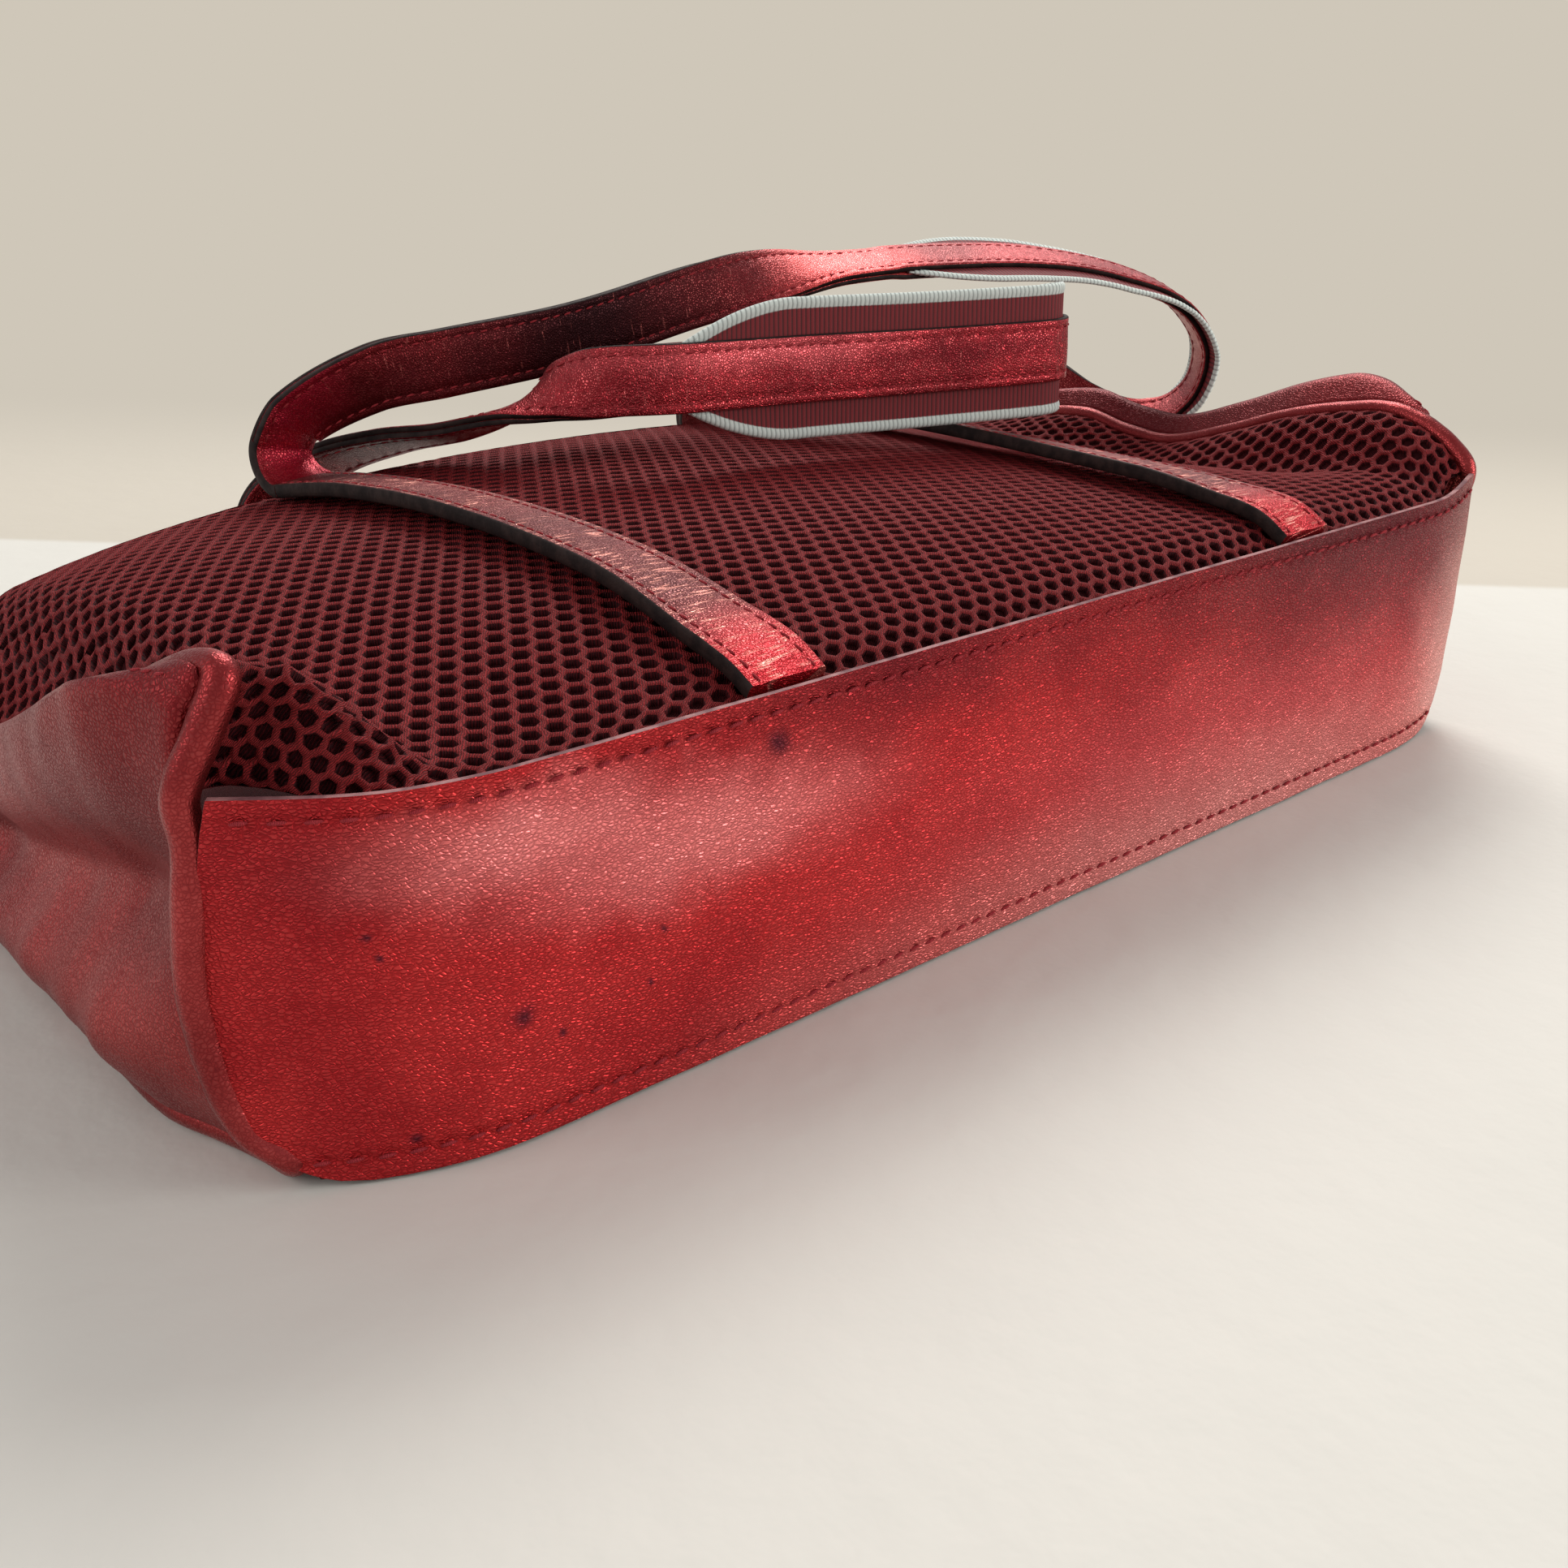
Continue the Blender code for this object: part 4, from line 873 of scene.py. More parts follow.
def grid(columns, rows):
    """A flat grid in a bmesh; gives it with the column and row of every corner."""
    bm = bmesh.new()
    bmesh.ops.create_grid(bm, x_segments=columns, y_segments=rows, size=1.0)
    where = {}
    for vert in bm.verts:
        where[vert.index] = (round((vert.co.x + 1) / 2 * columns), round((vert.co.y + 1) / 2 * rows))
    bm.verts.ensure_lookup_table()
    return bm, where


def flat_map(bm, place_of):
    """Writes the UV map: place_of gives each corner's place on the flat piece, in metres."""
    layer = bm.loops.layers.uv.new("flat")
    for face in bm.faces:
        for loop in face.loops:
            loop[layer].uv = place_of(loop.vert)


def piece(name, bm, finishes, body, replaced=()):
    """Turns a bmesh in bag coordinates into a finished piece that rides on a body of the solids."""
    bmesh.ops.translate(bm, verts=bm.verts, vec=(0.0, BASE_LINE_Y, 0.0))
    mesh = bpy.data.meshes.new(name)
    bm.to_mesh(mesh)
    bm.free()
    for finish in finishes:
        mesh.materials.append(finish)
    mesh.shade_smooth()
    obj = bpy.data.objects.new(name, mesh)
    bpy.context.scene.collection.objects.link(obj)
    if body:
        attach(obj, body)
    if replaced:
        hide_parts(*replaced)
    print(f"{name}: {len(mesh.polygons)} faces")
    return obj


flat_sizes = {}
SHARP_ANGLE = math.radians(50)


def sheet(name, place, us, vs, thickness, finishes, body, replaced=(), rim=0, rounded=0.0,
          flip=False):
    """A sheet on its mid surface place(u, v), given its thickness by Solidify and round edges by Bevel.

    us and vs are the steps of its grid; rim is how many finishes further the cut edges take theirs.
    """
    bm, where = grid(len(us) - 1, len(vs) - 1)
    spots = {}
    for vert in bm.verts:
        i, j = where[vert.index]
        spots[i, j] = place(us[i], vs[j])
        vert.co = spots[i, j]
    rows = [chord_knots([spots[i, j] for i in range(len(us))]) for j in range(len(vs))]
    columns = [chord_knots([spots[i, j] for j in range(len(vs))]) for i in range(len(us))]
    across, along = rows[len(vs) // 2], columns[len(us) // 2]
    flat_sizes[name] = (max(row[-1] for row in rows), max(column[-1] for column in columns))

    def flat_place(vert):
        i, j = where[vert.index]
        return across[i] - across[-1] / 2, along[j]

    flat_map(bm, flat_place)
    if flip:
        bmesh.ops.reverse_faces(bm, faces=bm.faces)
    obj = piece(name, bm, finishes, body, replaced)
    solidify = obj.modifiers.new("thickness", 'SOLIDIFY')
    solidify.thickness = thickness
    solidify.offset = 0.0
    solidify.material_offset_rim = rim
    if rounded:
        bevel = obj.modifiers.new("rounded edges", 'BEVEL')
        bevel.width = rounded
        bevel.segments = 2
        bevel.limit_method = 'ANGLE'
        bevel.angle_limit = SHARP_ANGLE
    return obj


def strip(name, frames, profile, finishes, body, replaced=(), edge_columns=()):
    """A strip whose closed cross-section is carried along frames of (run, point, width, facing).

    profile(run) gives the section's corners as (beside, over). The faces of edge_columns take the
    second finish.
    """
    sections = [[here + width * beside + facing * over for beside, over in profile(run)]
                for run, here, width, facing in frames]
    count = len(sections[0])
    bm, where = grid(count, len(frames) - 1)
    shape = profile(frames[len(frames) // 2][0])
    around = chord_knots([Vector((*corner, 0.0)) for corner in shape + shape[:1]])
    for vert in bm.verts:
        i, j = where[vert.index]
        vert.co = sections[j][i % count]

    def flat_place(vert):
        i, j = where[vert.index]
        return around[i] - around[-1] / 4, frames[j][0]

    flat_map(bm, flat_place)
    for face in bm.faces:
        low = min(where[vert.index][0] for vert in face.verts)
        if low in edge_columns:
            face.material_index = 1
    bmesh.ops.remove_doubles(bm, verts=bm.verts, dist=1e-6)
    ends = [edge for edge in bm.edges if edge.is_boundary]
    bmesh.ops.holes_fill(bm, edges=ends, sides=0)
    for edge in ends:
        edge.smooth = False
    bmesh.ops.recalc_face_normals(bm, faces=bm.faces)
    return piece(name, bm, finishes, body, replaced)


# %% [markdown]
# A stitch is a short bar of thread that lies on the leather and dives in at both ends. One small ball,
# stretched and turned for every stitch, is enough; a whole seam is one piece.

# %% Stitches
STITCH_PITCH, STITCH_LENGTH, STITCH_THREAD = 0.0033, 0.0024, 0.00055
STITCH_SLANT = 0.12


def stitches(name, places, body, length=STITCH_LENGTH, thick=STITCH_THREAD):
    """A seam of stitches at places of (point, along, facing), in bag coordinates."""
    bm = bmesh.new()
    for point, along, facing in places:
        along = along.normalized()
        facing = (facing - along * facing.dot(along)).normalized()
        beside = facing.cross(along)
        turned = (along + beside * STITCH_SLANT).normalized()
        beside = facing.cross(turned)
        axes = Matrix((turned * length / 2, beside * thick / 2, facing * thick / 2)).transposed().to_4x4()
        bmesh.ops.create_icosphere(bm, subdivisions=1, radius=1.0,
                                   matrix=Matrix.Translation(point) @ axes)
    layer = bm.loops.layers.uv.new("flat")
    for face in bm.faces:
        for loop in face.loops:
            loop[layer].uv = (loop.vert.co.x, loop.vert.co.y + loop.vert.co.z)
    return piece(name, bm, [thread], body)


def between(frames, runs):
    """For each run: the frames before and after it, and its share of the way from one to the other."""
    k = 0
    for run in runs:
        while k < len(frames) - 2 and frames[k + 1][0] < run:
            k += 1
        yield run, frames[k], frames[k + 1], (run - frames[k][0]) / (frames[k + 1][0] - frames[k][0])


def along_frames(frames, beside, over, start=0.0, stop=None):
    """Places for stitches along frames, at a distance beside the middle and over it."""
    stop = frames[-1][0] if stop is None else stop
    half, count = STITCH_PITCH / 2, max(int((stop - start) / STITCH_PITCH), 1)
    places = []
    for _, (_, a, wide_a, face_a), (_, b, wide_b, face_b), part in between(
            frames, evenly(start + half, stop - half, count)):
        wide, facing = wide_a.lerp(wide_b, part), face_a.lerp(face_b, part)
        places.append((a.lerp(b, part) + wide * beside + facing * over, b - a, facing))
    return places


# %% [markdown]
# ## The base
# The base is one stiff piece of pebbled leather. Its lower face is sewn to the back, its upper edge folds
# over the net and is stitched three millimetres in, which puckers the hide between the stitches.

# %% Base leather
BASE_STITCH = 0.0040
BASE_SEAM_STOP = 0.003
PUCKER, PUCKER_REACH = 0.00046, 0.0010
WAVES, END_CREASES = 0.00022, 0.00035
SHOWN_THICKNESS = 0.0011
TOP_SEAM_SHARE = 1 - 0.0032 / BASE_DEPTH
LOW_SEAM_SHARE = 0.0040 / BASE_DEPTH


def base_face(u, share):
    """The base's mid surface, with puckers at the seams and the soft creases of use."""
    point = offset_from(base_point, u, share, BASE_LEATHER / 2)
    trimmed = smoothstep(share / 0.45) * (1 - 0.7 * smoothstep((share - 0.65) / 0.35))
    point.x += LEFT_END_TRIM * max(-u, 0.0) ** 3 * trimmed
    point.z -= 0.6 * CORNER_FLICK * smoothstep((-u - CORNER_START) / CORNER_SPAN) * share
    x, up = u * BASE_LENGTH / 2, share * BASE_DEPTH
    push = WAVES * noise.noise(Vector((x * 55, up * 120, 3.0)))
    for seam in (TOP_SEAM_SHARE, LOW_SEAM_SHARE):
        near = math.exp(-((up - seam * BASE_DEPTH) / PUCKER_REACH) ** 2)
        push += PUCKER * near * (0.5 + 0.5 * math.cos(2 * math.pi * x / BASE_STITCH))
    creased_here = 0.5 + 0.5 * noise.noise(Vector((x * 20, up * 420, 8.0)))
    push += smoothstep((-u - 0.55) / 0.3) * END_CREASES * creased_here
    return point + Vector((0.0, push, 0.0))


across = evenly(-1, 1, 420)
upward = evenly(0, 0.10, 9)[:-1] + evenly(0.10, 0.90, 44)[:-1] + evenly(0.90, 1, 10)
sheet("base_leather_panel", base_face, across, upward, SHOWN_THICKNESS, [base_leather, lit_base_edge],
      "bag_body", ["base_panel"], rim=1, rounded=0.0003)

# %% Base seams
for name, share in (("base_top_stitches", TOP_SEAM_SHARE), ("base_low_stitches", LOW_SEAM_SHARE)):
    places = []
    seam_end = BASE_LENGTH / 2 - BASE_SEAM_STOP
    for x in evenly(-seam_end, seam_end, round(2 * seam_end / BASE_STITCH)):
        u = x / base_half_length(share)
        if abs(u) > 0.985:
            continue
        point = base_face(u, share)
        outward = (offset_from(base_point, u, share, 1.0) - base_point(u, share)).normalized()
        ahead = base_point(u + 0.01, share) - base_point(u - 0.01, share)
        places.append((point + outward * (BASE_LEATHER / 2 + 0.00005), ahead, outward))
    stitches(name, places, "bag_body", 0.0030, thick=0.0007)

# %% [markdown]
# ## The net
# The front and the back are a thick knitted net: staggered hexagonal holes, yarn between them and a dark
# layer behind. It is made flat. Every second upright edge of a plain grid is dissolved, which leaves a
# wall of bricks; moving their corners up and down makes hexagons; an inset leaves yarn round each hole
# and a second one, pushed inwards, gives the hole its wall. Then the flat net is laid on the bag, with
# the holes as far apart along the bag's curves as they are on the flat. The rows climb a little to one
# side, by BIAS, and a hole whose middle would lie outside the panel is left out.

# %% Net builder
CELL_ACROSS = 0.0044
CELL_ALONG = 0.0038
BIAS = -0.05
MOST_OUTSIDE = 0.45
YARN = 0.0014
HOLE_DEPTH = 0.0014
ROLL_OFF = 0.0003
PAST_SIDES = 1.013
GATHER = 0.35
YARN_FUZZ, FUZZ_SCALE = 0.00008, 900
FOLD_HEIGHT, FOLD_SCALE = 0.0030, 330
TABLE_COLUMNS, TABLE_ROWS = 241, 121


def tabled(point_at, normal_up, gathered):
    """Positions and normals of a face on a close table of u and v, and the runs across and along it.

    gathered(u, v) says how many times more net than face there is, where it is bunched up. The table
    goes a little past the sides, so that the net reaches under the piping.
    """
    us, vs = np.linspace(-PAST_SIDES, PAST_SIDES, TABLE_COLUMNS), np.linspace(0.0, 1.0, TABLE_ROWS)
    extra = np.array([[gathered(u, v) for v in vs] for u in us])
    spots = np.array([[tuple(point_at(u, v)) for v in vs] for u in us])
    across, along = np.gradient(spots, axis=0), np.gradient(spots, axis=1)
    normals = np.cross(across, along)
    normals /= np.linalg.norm(normals, axis=2, keepdims=True)
    if (normals[..., 2].mean() > 0) != normal_up:
        normals = -normals
    steps = np.linalg.norm(np.diff(spots, axis=0), axis=2) * extra[1:]
    run_across = np.concatenate([np.zeros((1, len(vs))), np.cumsum(steps, axis=0)])
    run_across -= run_across[len(us) // 2]
    steps = np.linalg.norm(np.diff(spots, axis=1), axis=2) * extra[:, 1:]
    run_along = np.concatenate([np.zeros((len(us), 1)), np.cumsum(steps, axis=1)], axis=1)
    return spots, normals, run_across, run_along


def blended(table, i, j):
    """Values of a table at fractional places i and j."""
    i0, j0 = np.clip(i.astype(int), 0, table.shape[0] - 2), np.clip(j.astype(int), 0, table.shape[1] - 2)
    a, b = i - i0, j - j0
    if table.ndim == 3:
        a, b = a[:, None], b[:, None]
    return ((table[i0, j0] * (1 - a) + table[i0 + 1, j0] * a) * (1 - b)
            + (table[i0, j0 + 1] * (1 - a) + table[i0 + 1, j0 + 1] * a) * b)


def us_of(table, i):
    """The face's u at fractional columns i of a table."""
    return (i / (table.shape[0] - 1) * 2 - 1) * PAST_SIDES


def laid_places(flat, run_across, run_along):
    """Where flat places (across, along) come to lie, as fractional columns and rows of the tables."""
    rows, columns = run_across.shape[1] - 1, run_across.shape[0] - 1
    j = np.clip(flat[:, 1] / run_along[columns // 2, -1], 0, 1) * rows
    i = np.full(len(flat), columns / 2.0)
    every_i, every_j = np.arange(columns + 1), np.arange(rows + 1)
    for _ in range(3):
        for column in np.unique(j.astype(int)):
            here = j.astype(int) == column
            i[here] = np.interp(flat[here, 0], run_across[:, min(column, rows)], every_i)
        for row in np.unique(np.round(i).astype(int)):
            here = np.round(i).astype(int) == row
            j[here] = np.interp(flat[here, 1], run_along[row], every_j)
    return i, j


def bunched(u, v):
    """The front net is bunched up in the hairpin by the base's left end, and nowhere else."""
    return 1 + GATHER * smoothstep((-0.80 - u) / 0.14) * smoothstep((0.19 - v) / 0.13)


def net(name, point_at, normal_up, replaced, gathered=lambda u, v: 1.0):
    """A net laid on the face point_at(u, v), with its holes as far apart there as on the flat."""
    spots, normals, run_across, run_along = tabled(point_at, normal_up, gathered)
    half = max(-run_across[0].min(), run_across[-1].max()) + 2 * CELL_ACROSS
    tall = run_along[:, -1].max() + half * abs(BIAS) * 2 + 2 * CELL_ALONG
    columns, rows = 4 * math.ceil(half / CELL_ACROSS), math.ceil(tall / CELL_ALONG)
    bm, where = grid(columns, rows)
    dropped = []
    for edge in bm.edges:
        (i, j), (k, m) = (where[vert.index] for vert in edge.verts)
        if i == k and 0 < i < columns and (i + min(j, m)) % 2:
            dropped.append(edge)
    for vert in bm.verts:
        i, j = where[vert.index]
        lean = CELL_ALONG / 6 if (i + j) % 2 == 0 else -CELL_ALONG / 6
        x = (i - columns / 2) * CELL_ACROSS / 2
        vert.co = (x, (j - 0.5) * CELL_ALONG + lean + BIAS * (x + half), 0.0)
    bmesh.ops.dissolve_edges(bm, edges=dropped, use_verts=False)
    faces = list(bm.faces)
    centres = np.array([face.calc_center_median()[:2] for face in faces])
    i, j = laid_places(centres, run_across, run_along)
    reach = np.stack([blended(run_across, i, j), blended(run_along, i, j)], axis=1)
    far = np.abs(reach - centres).max(axis=1) > CELL_ALONG * MOST_OUTSIDE
    bmesh.ops.delete(bm, geom=[face for face, out in zip(faces, far) if out], context='FACES')
    cells = list(bm.faces)
    bmesh.ops.inset_individual(bm, faces=cells, thickness=YARN / 2, depth=-ROLL_OFF, use_even_offset=True)
    walls = bmesh.ops.inset_individual(bm, faces=cells, thickness=0.00010, depth=ROLL_OFF - HOLE_DEPTH,
                                       use_even_offset=True)["faces"]
    # The holes' walls take the dark yarn: painted shade in the holes.
    for face in walls:
        face.material_index = 1
    bmesh.ops.delete(bm, geom=cells, context='FACES_ONLY')
    flat_map(bm, lambda vert: (vert.co.x, vert.co.y))
    bm.verts.index_update()
    flat = np.array([vert.co for vert in bm.verts])
    i, j = laid_places(flat[:, :2], run_across, run_along)
    near, out = blended(spots, i, j), blended(normals, i, j)
    crumpled = np.array([gathered(u, v) - 1 for u, v in zip(us_of(spots, i), j / (spots.shape[1] - 1))])
    fuzz = np.array([noise.noise(vert.co * FUZZ_SCALE) for vert in bm.verts])
    folds = np.array([noise.noise(vert.co * FOLD_SCALE) for vert in bm.verts])
    laid = near + out * (flat[:, 2] + YARN_FUZZ * fuzz + FOLD_HEIGHT * crumpled * folds)[:, None]
    for vert, place in zip(bm.verts, laid):
        vert.co = place
    if not normal_up:
        bmesh.ops.reverse_faces(bm, faces=bm.faces)
    return piece(name, bm, [net_yarn, hole_shade_yarn], "bag_body", [replaced])


front_net = net("front_net", front_point, True, "front_mesh_panel", bunched)
back_net = net("back_net", back_point, False, "back_mesh_panel")

# %% [markdown]
# Behind the holes lies the net's dark inner layer, a plain sheet with the width and height of the net. Its
# dark yarn is partly its own colour and partly painted shade.

# %% Inner layers of the net


def behind(point_at, depth):
    """A face at a depth behind another."""
    return lambda u, v: offset_from(point_at, u, v, -depth)


def inner_layer(name, point_at, depth):
    """The plain sheet at a depth behind a net's face, reaching a little way under the piping."""
    return sheet(name, behind(point_at, depth), evenly(-1.010, 1.010, 100), evenly(0, 1, 60),
                 MESH - HOLE_DEPTH, [hole_shade_yarn], "bag_body")


front_inner = inner_layer("front_net_inner_layer", front_point, (HOLE_DEPTH + MESH) / 2)
back_inner = inner_layer("back_net_inner_layer", back_point, -(HOLE_DEPTH + MESH) / 2)


# %% [markdown]
# ## Gussets and piping
# The gussets are softer leather than the base. They are pushed in between the front and the back, so
# they fold and crease. The seam that joins them is piped: leather wrapped round a cord.

# %% Gussets


GUSSET_SEAM_W, GUSSET_GROOVE_W, GROOVE_SPAN = 0.055, 0.085, 0.02
OUT_STEP = 0.001


def creased(place, side):
    """A gusset's mid surface with the creases that the push leaves in it, and a groove by its seam."""
    def at(w, v):
        point = place(w, v)
        fold = noise.noise(Vector((w * 3.0, v * 13.0, 5.0 + side)))
        small = noise.noise(Vector((w * 9.0, v * 34.0, 11.0 + side)))
        free = smoothstep(w / 0.2) * smoothstep((1 - w) / 0.15) * smoothstep(v / 0.08)
        groove = math.exp(-((w - GUSSET_GROOVE_W) / GROOVE_SPAN) ** 2)
        point.x += side * free * (0.0012 * fold + 0.0002 * small)
        point.x -= side * 0.0004 * groove
        point.z -= 0.0005 * groove
        return point
    return at


SIDES = (("left", -1), ("right", 1))
gusset_places = {side: gusset_place(side) for _, side in SIDES}
for name, side in SIDES:
    skin = creased(gusset_places[side], side)
    sheet(f"{name}_gusset_leather", skin, evenly(0, 1, 56), evenly(0, 1, 110), LEATHER, [gusset_leather],
          "bag_body", [f"{name}_gusset"], flip=side < 0)
    seam = []
    for v in evenly(0.03, 0.97, 62):
        point = skin(GUSSET_SEAM_W, v)
        out = offset_from(skin, GUSSET_SEAM_W, v, OUT_STEP, 0.004) - point
        if out.x * side < 0:
            out.negate()
        seam.append((point + out * (LEATHER / 2 / OUT_STEP), skin(GUSSET_SEAM_W, v + 0.01) - point,
                     out.normalized()))
    stitches(f"{name}_gusset_stitches", seam, "bag_body")

# %% [markdown]
# The bead of the piping is round, a little uneven where the leather is gathered round the tight turns.

# %% Piping


def route_frames(points, lowest, count):
    """Frames along a route, no lower than a height, with a width that turns as little as possible."""
    knots = chord_knots(points)
    frames = []
    width = None
    for run in evenly(0, knots[-1], count):
        here = through(knots, points, run)
        along = heading(knots, points, run, 0.0006)
        width = Vector((0.0, 0.0, 1.0)).cross(along) if width is None else width
        width = (width - along * width.dot(along)).normalized()
        frames.append((run, Vector((here.x, here.y, max(here.z, lowest))), width, width.cross(along)))
    return frames


BEAD_SIDES = 16
BEAD_PULL = 0.00010
# Each bead's side, what its radius has more than the middle one, and how far it is kept off the table
BEADS = (("left", -1, 0.0003, 0.0004), ("right", 1, -0.00012, 0.0001))
for name, side, swell, lift in BEADS:
    def bead_profile(run, middle=BEAD_RADIUS + swell):
        corners = []
        for k in range(BEAD_SIDES):
            angle = 2 * math.pi * k / BEAD_SIDES
            wave = noise.noise(Vector((run * 260, math.cos(angle) * 2, math.sin(angle) * 2)))
            radius = middle + BEAD_PULL * wave
            corners.append((radius * math.cos(angle), radius * math.sin(angle)))
        return corners

    strip(f"{name}_piping_bead", route_frames(bead_route(side), BEAD_RADIUS + lift, 520), bead_profile,
          [bead_leather], "bag_body", [f"{name}_piping"])

# %% [markdown]
# ## Straps
# A strap is two leathers sewn back to back, with a slightly crowned face, two sunken seams and painted
# edges. Its cross-section is drawn once and carried up the front, and again under the back.

# %% Strap section
HALF_STRAP = STRAP_WIDTH / 2
HALF_THICKNESS = STRAP_THICKNESS / 2
SEAM_INSET = 0.0021
SUNK = 0.00005


def strap_corners(over=HALF_THICKNESS, under=HALF_THICKNESS, soft=0.00035, groove=0.00022):
    """The corners of a strap's cross-section, from its lower left, round by the top."""
    seam = HALF_STRAP - SEAM_INSET
    middle = (over - under) / 2
    lower = [(-HALF_STRAP + soft, -under), (-seam, -under), (0.0, -under), (seam, -under),
             (HALF_STRAP - soft, -under)]
    bulge = HALF_STRAP + 0.0001
    right = [(HALF_STRAP, -under + soft), (bulge, middle - 0.0003), (bulge, middle),
             (bulge, middle + 0.0003), (HALF_STRAP, over - soft)]
    upper = [(HALF_STRAP - soft, over), (seam + 0.0005, over), (seam, over - groove),
             (seam - 0.0005, over), (seam / 2, over + 0.00012), (0.0, over + 0.00016)]
    left_upper = [(-beside, up) for beside, up in reversed(upper[:-1])]
    left = [(-beside, up) for beside, up in reversed(right)]
    return lower + right + upper + left_upper + left


STRAP_EDGES = tuple(range(4, 10)) + tuple(range(20, 26))
print("strap section:", len(strap_corners()), "corners")


def wrinkled(run, strength, seed):
    """The strap's section with its top face raised and lowered by cross wrinkles."""
    made = []
    for beside, over in strap_corners():
        lift = 0.0
        if over > 0 and abs(beside) < HALF_STRAP - 0.0005:
            lift = strength * noise.noise(Vector((beside * 160, run * 900, seed)))
        made.append((beside, over + lift))
    return made


# %% Front straps
TURN_REACH = 0.0105
STAND_OFF = 0.0017
WRINKLES, FOOT_WRINKLES, FOOT_REACH = 0.00012, 0.00032, 0.020
strap_ends = {}


def make_strap(name, frames, profile):
    """A strap's leather; its last frames are kept for the turn that goes on from it."""
    strip(f"{name}_strap_leather", frames, profile, [strap_leather, painted_edge], "bag_body",
          [f"{name}_strap"], edge_columns=STRAP_EDGES)
    strap_ends[name] = frames[-2:]


for name, side in (("front_left", -1), ("front_right", 1)):
    frames = []
    run = 0.0
    last = None
    for v in evenly(0.010, (FRONT_AXIS_Y - TURN_REACH) / BODY_HEIGHT, 220):
        off = STAND_OFF * smoothstep(v / 0.25) * smoothstep((1.02 - v) / 0.25)
        here = strap_mid(side, 0.0, v, off)
        width = (strap_mid(side, HALF_STRAP, v, off * 0.5)
                 - strap_mid(side, -HALF_STRAP, v, off * 1.5)).normalized()
        facing = (strap_mid(side, 0.0, v, off + 0.001) - here).normalized()
        run += (here - last).length if last is not None else 0.0
        last = here
        facing = (facing - width * facing.dot(width)).normalized()
        frames.append((run, here, width, facing))

    def profile(run, seed=side):
        return wrinkled(run, WRINKLES + FOOT_WRINKLES * math.exp(-run / FOOT_REACH), seed)

    make_strap(name, frames, profile)
    seams = []
    for beside in (-1, 1):
        seams += along_frames(frames, beside * (HALF_STRAP - SEAM_INSET), HALF_THICKNESS - SUNK)
    stitches(f"{name}_strap_stitches", seams, "bag_body")

# %% Back straps
for name, side in (("back_left", -1), ("back_right", 1)):
    frames = [(y, Vector((strap_x(side, y), y, HALF_THICKNESS)), Vector((-1.0, 0.0, 0.0)),
               Vector((0.0, 0.0, -1.0))) for y in evenly(GAP, BACK_AXIS_Y - TURN_REACH, 60)]
    make_strap(name, frames, lambda run: strap_corners(HALF_THICKNESS - 0.00018))

# %% [markdown]
# ## Handles
# Each handle has an outer and an inner leather. They are sewn together, and over one stretch they open to
# take a band of grosgrain, which is twice as wide and shows on both sides.

# %% Handle leathers


HANDLE_SEGMENTS = 420
OPENING = 0.006
PRESSED = 0.00008
HANDLE_WRINKLES, FAN_WRINKLES, TWIST_REACH = 0.00016, 0.0006, 0.016


def layer_gap(run, ribbon_start):
    """Half the distance between a handle's two leathers."""
    past_start = smoothstep((run - ribbon_start) / OPENING + 1)
    past_end = smoothstep((run - ribbon_start - RIBBON_LENGTH) / OPENING)
    return GAP / 2 + (RIBBON / 2 + GAP / 2) * past_start * (1 - past_end)


def leather_corners(low, high, facing_up, soft=0.0003, groove=0.0002):
    """One leather of a handle between two heights; facing_up says which face shows its seams."""
    seam = HALF_STRAP - SEAM_INSET
    shown, hidden = (high, low) if facing_up else (low, high)
    sign = 1 if facing_up else -1
    face = [(HALF_STRAP - soft, shown), (seam + 0.0005, shown), (seam, shown - sign * groove),
            (seam - 0.0005, shown), (seam / 2, shown + sign * 0.00008), (0.0, shown + sign * 0.0001)]
    corners = [(HALF_STRAP, shown - sign * soft)] + face
    corners += [(-beside, up) for beside, up in reversed(corners[:-1])]
    corners += [(-HALF_STRAP, hidden), (0.0, hidden), (HALF_STRAP, hidden)]
    return corners


LEATHER_EDGES = (0, 12, 15)
handle_ends = {}


